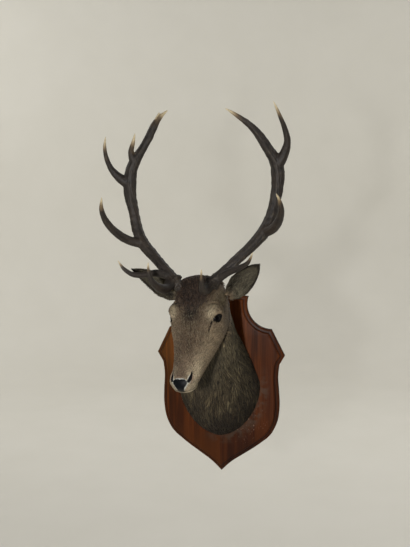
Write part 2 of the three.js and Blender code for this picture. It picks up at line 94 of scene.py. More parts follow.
def to_head(points):
    """Points of the CAD's frame in head coordinates."""
    return (points - HEAD_AT) @ HEAD_MATRIX


def from_head(points):
    """Head coordinates back in the CAD's frame."""
    return np.asarray(points, float) @ HEAD_MATRIX.T + HEAD_AT


def unit(vectors):
    return vectors / np.maximum(np.linalg.norm(vectors, axis=-1, keepdims=True), 1e-9)


def smoothstep(low, high, value):
    """0 at low and 1 at high, with an easy start and end. Low may be the larger."""
    t = np.clip((value - low) / (high - low), 0, 1)
    return t * t * (3 - 2 * t)


def srgb(*rgb):
    """A colour written as 0-255 sRGB, in the linear values that shaders take."""
    c = np.array(rgb, float) / 255
    return np.where(c <= 0.04045, c / 12.92, ((c + 0.055) / 1.055) ** 2.4)


# ---------------------------------------------------------------- the skin as a field of distances
def table_at(rows, place):
    """Every column of a table of sections at these places, by Catmull-Rom as the CAD does it."""
    at, values = rows[:, 0], rows[:, 1:]
    slope = np.gradient(values, axis=0)
    slope[1:-1] = (values[2:] - values[:-2]) / (at[2:] - at[:-2])[:, None]
    slope[0] = (values[1] - values[0]) / (at[1] - at[0])
    slope[-1] = (values[-1] - values[-2]) / (at[-1] - at[-2])
    place = np.clip(place, at[0], at[-1])
    i = np.clip(np.searchsorted(at, place, side="right") - 1, 0, len(at) - 2)
    span = (at[i + 1] - at[i])[:, None]
    u = (place - at[i])[:, None] / span
    u2, u3 = u * u, u * u * u
    ends = (2 * u3 - 3 * u2 + 1) * values[i] + (3 * u2 - 2 * u3) * values[i + 1]
    return ends + ((u3 - 2 * u2 + u) * slope[i] + (u3 - u2) * slope[i + 1]) * span


def section_radius(across, along, half, wide, low, high, low_power, high_power):
    """Distance from the section's centre, and the outline's own radius in that direction."""
    rise = along - wide
    r = np.hypot(across, rise) + 1e-6
    power = np.where(rise < 0, low_power, high_power)
    reach = np.where(rise < 0, wide - low, high - wide)
    shape = (np.abs(across) / r / half) ** power + (np.abs(rise) / r / reach) ** power
    return r, shape ** (-1 / power)


def swell(q, swellings):
    """How much the swellings raise the skin at head points."""
    rise = 0
    for at, spread, height in swellings:
        gap = (np.abs(q[:, 0]) - at[0]) ** 2 + (q[:, 1] - at[1]) ** 2 + (q[:, 2] - at[2]) ** 2
        rise = rise + height * np.exp(-gap / spread ** 2)
    return rise


def cap(inner, over):
    """Closes a swept form past its last section, by how far a point is beyond it."""
    outside = np.hypot(np.maximum(inner, 0), over)
    return np.where(over > 0, outside, inner)


def head_field(q):
    """About the distance from the bare head, negative inside, at head points."""
    front, back, half, wide, front_power, back_power = table_at(HEAD_ROWS, q[:, 2]).T
    r, edge = section_radius(q[:, 0], q[:, 1], half, wide, front, back, front_power, back_power)
    over = np.abs(q[:, 2] - np.clip(q[:, 2], HEAD_ROWS[0, 0], HEAD_ROWS[-1, 0]))
    return cap(r - edge - swell(q, SWELLINGS), over)


def neck_field(p):
    """About the distance from the bare neck, negative inside."""
    out = -p[:, 1]
    top, bottom, half, wide, top_power, bottom_power = table_at(NECK_ROWS, out).T
    r, edge = section_radius(p[:, 0], p[:, 2], half, wide, bottom, top, bottom_power, top_power)
    return cap(r - edge, np.maximum(out - NECK_ROWS[-1, 0], 0))


def smooth_min(a, b, width):
    """The lower of two fields, rounded where they are within a width of each other."""
    h = np.clip(0.5 + 0.5 * (b - a) / width, 0, 1)
    return b * (1 - h) + a * h - width * h * (1 - h)


def smooth_max(a, b, width):
    return -smooth_min(-a, -b, width)


def line_gap(q, points):
    """Distance to a line of points, and the share of the way along it."""
    points = np.asarray(points, float)
    lengths = np.linalg.norm(np.diff(points, axis=0), axis=1)
    starts = np.concatenate([[0], np.cumsum(lengths)])
    best, along = np.full(len(q), 1e9), np.zeros(len(q))
    for a, b, start, length in zip(points, points[1:], starts, lengths):
        t = np.clip((q - a) @ (b - a) / length ** 2, 0, 1)
        gap = np.linalg.norm(q - a - t[:, None] * (b - a), axis=1)
        nearer = gap < best
        best = np.where(nearer, gap, best)
        along = np.where(nearer, (start + t * length) / starts[-1], along)
    return best, along


def coat_depth(p, q):
    """How far the hair's tips stand above the skin."""
    face = 3.2 * smoothstep(-212, -188, q[:, 2]) + 0.4
    neck = 4 + 12 * smoothstep(20, 120, q[:, 1] * 0.7 + (q[:, 2] - 60) * 0.6)
    on_neck = smoothstep(-14, 14, head_field(q) - neck_field(p))
    return face * (1 - on_neck) + neck * on_neck


# Finer relief on the skin: where, reach and height
RELIEF = [
    ((60, -32, 44), 17, -3.5), ((47, -46, -52), 16, -2.0), ((66, -10, -52), 20, 2.5),
    ((44, 8, -150), 26, -2.5), ((36, -20, -188), 11, 3.0), ((22, 2, -214), 12, 2.0),
    ((30, -34, -170), 12, -1.5), ((44, -58, 62), 20, 3.0), ((64, 60, 60), 26, -3.0)]
FOLD_LINE = [(47, -53, 6), (50.2, -52, 12.3), (57, -49, 19), (64.2, -44.5, 22.5), (74.5, -35.3, 22.8),
             (83.3, -26.6, 14), (87, -12, 8)]
DUCT_LINE = [(70, -33, -17), (67, -33, -22), (63, -33, -31), (59.6, -32, -42.5),
             (57, -29.5, -52), (55.8, -27.5, -61)]
UNDER_FOLD = [(73, 4, -34), (69, -12, -40), (62, -22, -44)]
MOUTH_LINE = [(0, -15, -230), (14, -14, -227), (25, -8, -216), (34, 2, -200), (40, 12, -178),
              (44, 20, -158), (46, 26, -140)]
NOSTRIL = [(30.3, -33, -178.5), (30.2, -33.5, -188), (28, -34, -198), (24.6, -34.5, -206.5)]
NOSTRIL_SIZE = [1.2, 2.6, 4.2, 3.2]
EYE_OUT = unit(np.array([0.84, -0.47, -0.27]))  # from the eyeball to the middle of the lids
EYE_LONG = unit(np.array([0.0, 0.70, 0.71]) - EYE_OUT * (np.array([0.0, 0.70, 0.71]) @ EYE_OUT))
EYE_UP = np.cross(EYE_LONG, EYE_OUT)
LID = dict(long=13.2, up=8.4, down=7.4, thick=2.6, blend=5.0)
LID_REACH = 46  # the lids change the skin within this distance of the eye's middle
SOCKET = 3.5  # depth of the hollow behind the eyeball's surface
EDGE = 1.6  # rounding of the edges of lids and nostrils


def mirrored(q):
    """Head points folded over on to the stag's left, for what both sides have."""
    return np.column_stack([np.abs(q[:, 0]), q[:, 1], q[:, 2]])


def nostril_gap(m):
    """Distance outside the slit of the nostril, and the share of the way along it."""
    gap, along = line_gap(m, NOSTRIL)
    return gap - np.interp(along, np.linspace(0, 1, len(NOSTRIL_SIZE)), NOSTRIL_SIZE), along


def near_eye(m):
    return np.linalg.norm(m - EYE_AT, axis=1) < EYE_REACH


def lid_gap(m):
    """How far a point's direction from the eyeball lies outside the almond between the lids."""
    d = unit(m - EYE_AT)
    along, up, out = (d @ a * EYE_RADIUS for a in (EYE_LONG, EYE_UP, EYE_OUT))
    share = np.clip(1 - (along / LID["long"]) ** 2, -3, 1)
    gap = np.where(up > 0, up - LID["up"] * share, -up - LID["down"] * share)
    return np.where(out > 0, gap, 20.0)


def add_eye(f, m):
    """The field with lids round the eyeball, and a hollow for the glass between them."""
    near = np.linalg.norm(m - EYE_AT, axis=1) < LID_REACH
    if not near.any():
        return f
    f = f.copy()
    n = m[near]
    reach = np.linalg.norm(n - EYE_AT, axis=1)
    gap = lid_gap(n)
    lids = np.where(n[:, 0] > 40, reach - (EYE_RADIUS + LID["thick"]), 20)
    inner = smooth_min(f[near], lids, LID["blend"])
    opening = np.maximum(gap, (EYE_RADIUS - SOCKET) - reach)
    f[near] = smooth_max(inner, -opening, EDGE)
    return f


def neck_share(p):
    """0 on the head and 1 on the neck."""
    return smoothstep(-10, 12, head_field(to_head(p)) - neck_field(p))


def smooth_body(p):
    """Distance to the skin without its fine relief, and not cut off at the board."""
    q = to_head(p)
    return smooth_min(head_field(q), neck_field(p), BLEND) + coat_depth(p, q)


def crease(gap, depth, width):
    """The depth of a groove at a distance from its line."""
    return depth * np.exp(-(gap / width) ** 2)


def skin_field(p, details=True):
    """Distance to the skin, negative inside."""
    q = to_head(p)
    f = smooth_body(p)
    if details:
        near = (q[:, 2] < 90) & (q[:, 1] < 90) & (f < 25)
        if near.any():
            m = mirrored(q[near])
            g = f[near] - swell(m, RELIEF)
            gap, along = line_gap(m, FOLD_LINE)
            ends = smoothstep(0, 0.2, along) * smoothstep(1, 0.75, along)
            g = g + crease(gap, 2.6, 3.4) * ends
            g = g + crease(line_gap(m, UNDER_FOLD)[0], 1.6, 3.5)
            g = add_eye(g, m)
            gap, along = line_gap(m, DUCT_LINE)
            g = g + crease(gap, 5.5 - 2 * along, 3.6 - along)
            gap, along = line_gap(m, MOUTH_LINE)
            g = g + crease(gap, 2.8, 2.4) * smoothstep(1.0, 0.7, along)
            g = smooth_max(g, -nostril_gap(m)[0], EDGE)
            f = f.copy()
            f[near] = g
    return np.maximum(f, p[:, 1] + BOARD_FACE - 0.4)


def bare_field(p):
    """The skin without its fine relief."""
    return skin_field(p, details=False)


def gradient(field, p, step=0.6):
    """How a field changes along X, Y and Z."""
    g = np.empty_like(p)
    for axis in range(3):
        offset = np.zeros(3)
        offset[axis] = step
        g[:, axis] = (field(p + offset) - field(p - offset)) / (2 * step)
    return g


def project(field, p, level=0.0, rounds=3, reach=3.0):
    """Moves points on to the surface where the field has a given value."""
    for _ in range(rounds):
        g = gradient(field, p)
        size = np.maximum((g ** 2).sum(1), 0.05)
        move = ((level - field(p)) / size)[:, None] * g
        far = np.linalg.norm(move, axis=1, keepdims=True)
        p = p + move * np.minimum(1, reach / np.maximum(far, 1e-9))
    return p


def laid_on_skin(line, depth=0.0):
    """A line of head points, moved to a depth under the skin."""
    return to_head(project(bare_field, from_head(line), -depth, rounds=6))


FOLD_LINE, UNDER_FOLD, MOUTH_LINE, NOSTRIL = (
    laid_on_skin(line) for line in (FOLD_LINE, UNDER_FOLD, MOUTH_LINE, NOSTRIL))
DUCT_LINE = laid_on_skin(DUCT_LINE, 1.8)


def surface_nets(field, low, high, step):
    """The field's zero surface as points and triangles, one point to each cell it crosses."""
    low = np.array(low, float)
    counts = np.ceil((np.array(high) - low) / step).astype(int) + 1
    axes = [low[k] + step * np.arange(counts[k]) for k in range(3)]
    grid = np.stack(np.meshgrid(*axes, indexing="ij"), -1).reshape(-1, 3)
    values = np.concatenate([field(part) for part in np.array_split(grid, 12)]).reshape(counts)
    cells = counts - 1
    total, number, quads = np.zeros((cells.prod(), 3)), np.zeros(cells.prod()), []
    for axis in range(3):
        first, second = [slice(None)] * 3, [slice(None)] * 3
        first[axis], second[axis] = slice(0, -1), slice(1, None)
        va, vb = values[tuple(first)], values[tuple(second)]
        cross = (va < 0) != (vb < 0)
        at = np.argwhere(cross)
        a, b = va[cross], vb[cross]
        point = at.astype(float)
        point[:, axis] += a / (a - b)
        one, two = [k for k in range(3) if k != axis]
        around = []
        for i, j in ((0, 0), (-1, 0), (-1, -1), (0, -1)):
            cell = at.copy()
            cell[:, one] += i
            cell[:, two] += j
            around.append(np.ravel_multi_index(cell.T, cells, mode="clip"))
            for k in range(3):
                total[:, k] += np.bincount(around[-1], point[:, k], len(total))
            number += np.bincount(around[-1], minlength=len(number))
        quad = np.stack(around, 1)
        flip = (a < 0) == (axis == 1)
        quad[flip] = quad[flip][:, ::-1]
        quads.append(quad)
    quads = np.concatenate(quads)
    used, quads = np.unique(quads, return_inverse=True)
    quads = quads.reshape(-1, 4)
    points = low + total[used] / number[used, None] * step
    return points, np.concatenate([quads[:, [0, 1, 2]], quads[:, [0, 2, 3]]])


def refine(points, faces, wanted):
    """Halves each edge that is wanted, and cuts the triangles on it to suit."""
    edges = np.sort(faces[:, [0, 1, 1, 2, 2, 0]].reshape(-1, 2), 1)
    edges, back = np.unique(edges, axis=0, return_inverse=True)
    middle = (points[edges[:, 0]] + points[edges[:, 1]]) / 2
    cut = wanted(middle, np.linalg.norm(points[edges[:, 0]] - points[edges[:, 1]], axis=1))
    number = np.full(len(edges), -1)
    number[cut] = len(points) + np.arange(cut.sum())
    points = np.concatenate([points, middle[cut]])
    mid = number[back.reshape(-1)].reshape(-1, 3)
    a, b, c = faces.T
    x, y, z = mid.T
    has = mid >= 0
    kind = has @ np.array([1, 2, 4])
    out = [faces[kind == 0]]

    def add(select, *triangles):
        for triangle in triangles:
            out.append(np.stack([t[select] for t in triangle], 1))

    for k, (p, q, r, e) in {1: (a, b, c, x), 2: (b, c, a, y), 4: (c, a, b, z)}.items():
        add(kind == k, (p, e, r), (e, q, r))
    for k, (p, q, r, e, f) in {3: (a, b, c, x, y), 6: (b, c, a, y, z), 5: (c, a, b, z, x)}.items():
        add(kind == k, (e, q, f), (p, e, f), (p, f, r))
    add(kind == 7, (a, x, z), (x, b, y), (z, y, c), (x, y, z))
    return points, np.concatenate(out)


def relax(points, faces, rounds, share=0.5, where=None):
    """Evens a mesh by moving each point towards the middle of its neighbours."""
    edges = np.sort(faces[:, [0, 1, 1, 2, 2, 0]].reshape(-1, 2), 1)
    edges = np.unique(edges, axis=0)
    i, j = edges.T
    count = np.bincount(np.concatenate([i, j]), minlength=len(points))[:, None]
    for _ in range(rounds):
        total = np.stack([np.bincount(i, points[j, k], len(points))
                          + np.bincount(j, points[i, k], len(points)) for k in range(3)], 1)
        step = share * (total / np.maximum(count, 1) - points)
        points = points + (step if where is None else step * where[:, None])
    return points


def point_normals(points, faces):
    """The direction out of the surface at each point."""
    a, b, c = points[faces[:, 0]], points[faces[:, 1]], points[faces[:, 2]]
    n = np.cross(b - a, c - a)
    total = np.stack([sum(np.bincount(faces[:, i], n[:, k], len(points)) for i in range(3))
                      for k in range(3)], 1)
    return unit(total)


# ---------------------------------------------------------------- making objects
def make_mesh(name, points, faces):
    mesh = bpy.data.meshes.new(name)
    points, faces = np.asarray(points, np.float32) * MM, np.asarray(faces, np.int32)
    sides = faces.shape[1]
    mesh.vertices.add(len(points))
    mesh.vertices.foreach_set("co", points.ravel())
    mesh.loops.add(faces.size)
    mesh.loops.foreach_set("vertex_index", faces.ravel())
    mesh.polygons.add(len(faces))
    mesh.polygons.foreach_set("loop_start", np.arange(0, faces.size, sides, dtype=np.int32))
    mesh.polygons.foreach_set("loop_total", np.full(len(faces), sides, np.int32))
    mesh.update(calc_edges=True)
    mesh.validate()
    mesh.polygons.foreach_set("use_smooth", np.ones(len(faces), bool))
    obj = bpy.data.objects.new(name, mesh)
    bpy.context.scene.collection.objects.link(obj)
    return obj


def read_mesh(obj):
    """A mesh's points in millimetres, and its triangles."""
    mesh = obj.data
    mesh.calc_loop_triangles()
    points = np.empty(len(mesh.vertices) * 3)
    mesh.vertices.foreach_get("co", points)
    faces = np.empty(len(mesh.loop_triangles) * 3, np.int32)
    mesh.loop_triangles.foreach_get("vertices", faces)
    return points.reshape(-1, 3) / MM, faces.reshape(-1, 3)


def wrapped_quads(grid):
    """Quads between the rows of a grid of point numbers, whose last column joins its first."""
    nxt = np.roll(grid, -1, 1)
    return np.stack([grid[:-1], nxt[:-1], nxt[1:], grid[1:]], -1).reshape(-1, 4)


def add_colour(obj, name, colour):
    layer = obj.data.attributes.new(name, "FLOAT_COLOR", "POINT")
    rgba = np.ones((len(colour), 4), np.float32)
    rgba[:, :3] = colour
    layer.data.foreach_set("color", rgba.ravel())


def add_value(obj, name, value):
    layer = obj.data.attributes.new(name, "FLOAT", "POINT")
    layer.data.foreach_set("value", np.asarray(value, np.float32))


def add_vector(obj, name, value):
    layer = obj.data.attributes.new(name, "FLOAT_VECTOR", "POINT")
    layer.data.foreach_set("vector", np.asarray(value, np.float32).ravel())


def apply_modifiers(obj):
    """Puts the mesh that the modifiers make in the place of the object's own."""
    graph = bpy.context.evaluated_depsgraph_get()
    mesh = bpy.data.meshes.new_from_object(obj.evaluated_get(graph))
    obj.modifiers.clear()
    old, obj.data = obj.data, mesh
    mesh.name = obj.name
    bpy.data.meshes.remove(old)


def piece(obj, material, slot, *nodes):
    """Gives a finished mesh its material and body, and hides the CAD nodes that it replaces. The slot is not
    used.
    """
    obj.data.materials.append(material)
    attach(obj, BODY)
    if nodes:
        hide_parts(*nodes)


# ---------------------------------------------------------------- materials
class Nodes:
    """A node material written as a few calls."""

    def __init__(self, name):
        self.material = bpy.data.materials.new(name)
        self.material.use_nodes = True
        self.tree = self.material.node_tree
        self.shader = self.tree.nodes["Principled BSDF"]

    def add(self, kind, values=None, **settings):
        node = self.tree.nodes.new(kind)
        for key, value in settings.items():
            setattr(node, key, value)
        for key, value in (values or {}).items():
            self.put(node.inputs[key], value)
        return node

    def put(self, socket, value):
        if isinstance(value, bpy.types.NodeSocket):
            self.tree.links.new(value, socket)
        else:
            socket.default_value = value

    def set(self, **values):
        for key, value in values.items():
            self.put(self.shader.inputs[key.replace("_", " ")], value)

    def attribute(self, name, output="Color"):
        return self.add("ShaderNodeAttribute", attribute_name=name).outputs[output]

    def place(self):
        return self.add("ShaderNodeTexCoord").outputs["Object"]

    def stretched(self, vector, scale, turn=(0, 0, 0)):
        node = self.add("ShaderNodeMapping", {"Vector": vector, "Scale": scale, "Rotation": turn})
        return node.outputs[0]

    def oval(self, middle, reach):
        """Distance from a middle, seen along Y, as a share of an oval's half width and height."""
        off = self.add("ShaderNodeVectorMath", {0: self.place(), 1: (-middle[0], 0, -middle[1])})
        size = self.add("ShaderNodeVectorMath", operation="LENGTH")
        self.put(size.inputs[0], self.stretched(off.outputs[0], (1 / reach[0], 0, 1 / reach[1])))
        return size.outputs["Value"]

    def noise(self, vector, scale, detail=3.0, rough=0.55, distort=0.0):
        return self.add("ShaderNodeTexNoise", {"Vector": vector, "Scale": scale, "Detail": detail,
                                               "Roughness": rough, "Distortion": distort}).outputs["Fac"]

    def ramp(self, value, low, high, to_low=0.0, to_high=1.0, smooth=True):
        node = self.add("ShaderNodeMapRange", {"Value": value, "From Min": low, "From Max": high,
                                               "To Min": to_low, "To Max": to_high})
        node.interpolation_type = "SMOOTHSTEP" if smooth else "LINEAR"
        return node.outputs[0]

    def math(self, operation, a, b=0.0):
        return self.add("ShaderNodeMath", {0: a, 1: b}, operation=operation).outputs[0]

    def times(self, a, b):
        return self.math("MULTIPLY", a, b)

    def mix(self, share, a, b):
        return self.add("ShaderNodeMix", {"Factor": share, 6: a, 7: b}, data_type="RGBA").outputs[2]

    def bump(self, height, strength, distance):
        node = self.add("ShaderNodeBump", {"Height": height, "Strength": strength, "Distance": distance})
        self.put(self.shader.inputs["Normal"], node.outputs[0])


def rgba(*rgb):
    return (*srgb(*rgb), 1.0)


# ---------------------------------------------------------------- camera, light and floor
CAMERA_AT = (0.5703, -2.5, 0.5497)  # metres, as the lights' places and sizes are
CAMERA_TURN = (13.9, 6.5, -0.867)  # degrees to the left, down and about the view
FOCAL_PIXELS, IMAGE_HEIGHT, SENSOR = 812, 547, 36.0
# name, place, what it points at, size and power
LIGHTS = [
    ("key", (0.16, -2.62, 0.44), (0, -0.2, 0.15), 0.12, 46),
    ("fill", (-2.0, -2.4, 1.8), (0, -0.2, 0.1), 2.0, 4),
    ("backdrop", (-3.0, 1.0, 2.5), (-0.9, 5.2, 0.2), 1.6, 80),
    ("backdrop", (3.0, 1.0, 2.5), (0.9, 5.2, 0.2), 1.6, 80),
    ("rear_backdrop", (0, -3.6, 3.0), (0, -5.2, 0.5), 1.6, 16),
    ("rear", (0.9, 3.2, 2.4), (0, 0, 0.1), 1.6, 26)]
WORLD_LIGHT = 0.15


def set_pose(obj, side, up, back, at):
    """Puts a camera or light at a place, with its own X, Y and Z in these directions."""
    matrix = Matrix.Identity(4)
    for k in range(3):
        matrix[k][0], matrix[k][1], matrix[k][2], matrix[k][3] = side[k], up[k], back[k], at[k]
    obj.matrix_world = matrix


def place_camera():
    """The photograph's camera, worked out from the board's symmetry and the wall's level lines."""
    yaw, pitch, roll = (math.radians(angle) for angle in CAMERA_TURN)
    ahead = np.array([-math.sin(yaw) * math.cos(pitch), math.cos(yaw) * math.cos(pitch),
                      -math.sin(pitch)])
    level = np.array([math.cos(yaw), math.sin(yaw), 0])
    above = np.cross(level, ahead)
    right = level * math.cos(roll) + above * math.sin(roll)
    up = above * math.cos(roll) - level * math.sin(roll)
    data = bpy.data.cameras.new("camera")
    data.sensor_width = SENSOR
    data.lens = FOCAL_PIXELS / IMAGE_HEIGHT * SENSOR
    camera = bpy.data.objects.new("camera", data)
    bpy.context.scene.collection.objects.link(camera)
    set_pose(camera, right, up, -ahead, CAMERA_AT)
    bpy.context.scene.camera = camera


def area_light(name, at, toward, size, power):
    data = bpy.data.lights.new(name, "AREA")
    data.shape, data.size, data.energy = "DISK", size, power
    light = bpy.data.objects.new(name, data)
    bpy.context.scene.collection.objects.link(light)
    back = unit(np.array(at, float) - np.array(toward, float))
    side = unit(np.cross([0, 0, 1], back))
    set_pose(light, side, np.cross(back, side), back, at)


def make_stage():
    """A round studio: a pale floor that curves up into a far pale backdrop, open at the top."""
    floor, radius, curve, top, flat = -1000, 5200, 1500, 3800, 1500
    profile = [(flat, floor), (radius - curve, floor)]
    for k in range(1, 13):
        a = math.pi / 2 * k / 12
        profile.append((radius - curve + curve * math.sin(a), floor + curve - curve * math.cos(a)))
    profile.append((radius, top))
    sides = 64
    angle = 2 * np.pi * np.arange(sides) / sides
    points = np.concatenate([np.column_stack([r * np.cos(angle), r * np.sin(angle), np.full(sides, z)])
                             for r, z in profile])
    quads = wrapped_quads(np.arange(len(points)).reshape(-1, sides)).tolist()
    mesh = bpy.data.meshes.new("studio")
    mesh.from_pydata((points * MM).tolist(), [], [tuple(range(sides))[::-1]] + quads)
    mesh.polygons.foreach_set("use_smooth", np.ones(len(mesh.polygons), bool))
    studio = bpy.data.objects.new("studio", mesh)
    bpy.context.scene.collection.objects.link(studio)
    paper = Nodes("studio_paper")
    grain = paper.noise(paper.place(), 3.0, 2.0)
    paper.set(Base_Color=paper.mix(grain, rgba(205, 202, 192), rgba(211, 208, 199)), Roughness=0.9)
    mesh.materials.append(paper.material)
    world = bpy.data.worlds.new("studio_light")
    bpy.context.scene.world = world
    world.use_nodes = True
    sky = world.node_tree.nodes["Background"].inputs
    sky["Color"].default_value = (1.0, 0.985, 0.96, 1)
    sky["Strength"].default_value = WORLD_LIGHT
    bpy.context.scene.view_settings.view_transform = "Standard"


place_camera()
make_stage()
for light in LIGHTS:
    area_light(*light)


# ---------------------------------------------------------------- ears
EAR = dict(wall=4.4, half_width=31.5, root_radius=21, tip=1.1, bow=14, root_spread=2.3, tip_spread=1.0)


def ear_axes(side):
    """An ear's root and length, and its directions along, out of its opening and across."""
    start, tip, opening = (np.array(EARS[side][key], float) for key in ("root", "tip", "opening"))
    length = np.linalg.norm(tip - start)
    along = unit(tip - start)
    opened = unit(opening - along * (opening @ along))
    return start, length - 2.5, along, opened, np.cross(along, opened)


def ear_row(t):
    """The leaf's spread, radius, wall and offset of its middle at shares of its length."""
    leaf = EAR["half_width"] * np.sin(np.pi * np.minimum(1, 0.22 + 0.78 * t)) ** 0.75
    wide = EAR["root_radius"] + (leaf - EAR["root_radius"]) * np.minimum(1, t * 3)
    half = np.maximum(EAR["tip"], wide) * (0.62 + 0.38 * smoothstep(0, 0.16, t))
    spread = EAR["root_spread"] + (EAR["tip_spread"] - EAR["root_spread"]) * t ** 0.8
    radius = half / np.sin(np.minimum(spread, np.pi / 2))
    wall = np.minimum(EAR["wall"], half * 0.5) + np.where(t < 0.12, radius * 0.6, 0)
    middle = -EAR["bow"] * np.sin(np.pi * t) + radius * 0.55
    return spread, radius, wall, middle


def ear_place(q):
    """For head points: share of the ear's length, place across it and depth in its wall."""
    side = np.where(q[:, 0] > 0, 1, -1)
    t, across, depth = np.full(len(q), -1.0), np.zeros(len(q)), np.zeros(len(q))
    for name, sign in (("left", 1), ("right", -1)):
        start, length, along, opened, sideways = ear_axes(name)
        mine = side == sign
        off = q[mine] - start
        place = off @ along / length
        spread, radius, wall, middle = ear_row(np.clip(place, 0, 1))
        u, v = off @ sideways, -(off @ opened - middle)
        t[mine] = place
        across[mine] = np.arctan2(u, v) / spread
        depth[mine] = (radius - np.hypot(u, v)) / np.maximum(wall, 1)
    return t, across, depth


def build_ear(side, rings=46, arc=30):
    """A rolled leaf with a thick wall, from rings of points round its outer and inner sides."""
    start, length, along, opened, across = ear_axes(side)
    turns = np.concatenate([np.linspace(-1, 1, arc), np.linspace(0.985, -0.985, arc - 2)])
    outer = np.concatenate([np.ones(arc), np.zeros(arc - 2)])
    rows = []
    for t in np.linspace(0, 1, rings):
        spread, radius, wall, middle = (float(v) for v in ear_row(np.array(t)))
        # the free edges are a little wavy
        wave = 1 + 0.012 * np.sin(19 * t + 1) * np.abs(turns) ** 4
        angle = spread * turns * wave
        ridge = 0.5 * np.sin(26 * angle / max(spread, 0.4)) * (1 - outer) * smoothstep(0.05, 0.3, t)
        thick = wall * (0.45 + 0.55 * np.cos(turns * 1.35) ** 0.6)
        r = np.where(outer > 0, radius, radius - thick) + ridge
        row = start + along * (length * t) + opened * middle
        rows.append(row + across * (r * np.sin(angle))[:, None] - opened * (r * np.cos(angle))[:, None])
    rows = np.array(rows)
    count = rows.shape[1]
    points = rows.reshape(-1, 3)
    grid = np.arange(len(points)).reshape(-1, count)
    quads = wrapped_quads(grid)
    faces = np.concatenate([quads[:, [0, 1, 2]], quads[:, [0, 2, 3]]])
    # each end is closed between the outer and the inner side
    for ring, flip in ((grid[0], True), (grid[-1], False)):
        outside, inside = ring[:arc], np.concatenate([[ring[0]], ring[arc:][::-1], [ring[arc - 1]]])
        ends = []
        for k in range(arc - 1):
            a, b, c, d = outside[k], outside[k + 1], inside[k + 1], inside[k]
            ends += [(a, b, c)] if a == d else [(a, b, d)] if b == c else [(a, b, c), (a, c, d)]
        ends = np.array(ends)
        faces = np.concatenate([faces, ends[:, ::-1] if flip else ends])
    a, b, c = points[faces[:, 0]], points[faces[:, 1]], points[faces[:, 2]]
    if (np.cross(a, b) * c).sum() < 0:
        faces = faces[:, ::-1]
    return from_head(points), faces


def joined(points, faces, others):
    """The skin and the ears as one closed mesh."""
    body = make_mesh("body", points, faces)
    added = []
    for p, f in others:
        ear = make_mesh("ear", p, f)
        added.append(ear)
        union = body.modifiers.new("join", "BOOLEAN")
        union.operation, union.solver, union.object = "UNION", "MANIFOLD", ear
    apply_modifiers(body)
    result = read_mesh(body)
    for obj in added + [body]:
        bpy.data.objects.remove(obj)
    return result


# ---------------------------------------------------------------- markings
def blob(m, at, reach):
    """A soft patch: 1 in its middle, fading with distance in its three head directions."""
    return np.exp(-(((m - np.array(at)) / np.array(reach)) ** 2).sum(1))


def grain3(p, scale, seed):
    """Smooth noise from a few fixed waves, about -1 to 1."""
    waves = np.random.default_rng(seed)
    total = np.zeros(len(p))
    for _ in range(7):
        direction = unit(waves.normal(size=3))
        pitch = 2 * np.pi / scale * waves.uniform(0.7, 1.6)
        total += np.sin(p @ direction * pitch + waves.uniform(0, 6.28))
    return total / 3.2


def paint(colour, share, new):
    """Lays a new colour over a share of each point: linear values, or a tuple of 0-255 sRGB."""
    new = srgb(*new) if isinstance(new, tuple) else new
    share = np.clip(share, 0, 1)[:, None]
    return colour * (1 - share) + new * share


# the line of the painted shadow that the jaw casts on the hair under it, in the CAD's own frame
JAW_SHADOW_LINE = [(44, -217, 53), (27, -210, 27), (13, -204, 4), (5, -197, -16), (-7, -187, -43)]

# Soft patches of colour: mirrored (or on the one side given), strength, middle, reach and colour
BASE_PATCHES = [
    (True, 0.75, (0, -44, -90), (24, 30, 50), (92, 75, 59)),
    (True, 0.5, (0, -40, -165), (24, 26, 24), (146, 125, 104)),
    # painted shade on the stag's right of the muzzle, the side turned away from the lamp
    (False, 0.6, (-22, -38, -150), (14, 26, 40), (82, 67, 54)),
    (True, 0.7, (62, 6, -62), (34, 38, 46), (162, 143, 114)),
    (True, 0.6, (70, 40, 10), (40, 34, 50), (98, 86, 66))]
BROW_PATCHES = [
    (True, 0.85, (72, -14, 46), (15, 26, 32), (132, 120, 95)),
    (True, 1.0, (57, -45, -12), (13, 17, 21), (202, 186, 156)),
    (True, 0.75, (63, -45, 10), (12, 10, 10), (156, 142, 114)),
    (True, 0.6, (70, -2, -42), (18, 18, 9), (128, 113, 88))]


def patches(c, q, table):
    """Paints a table of patches on head points."""
    for both, strength, at, reach, colour in table:
        c = paint(c, strength * blob(mirrored(q) if both else q, at, reach), colour)
    return c


def forehead_place(q):
    """How far up from the lower edge of the forehead's dark hair, and how far out to its sides."""
    x, _, z = mirrored(q).T
    # it reaches less far out on the stag's left
    left = q[:, 0] > 0
    return z - np.where(left, 1.35, 0.9) * np.maximum(x - 18, 0), x + np.where(left, 7, 0) - 0.12 * z


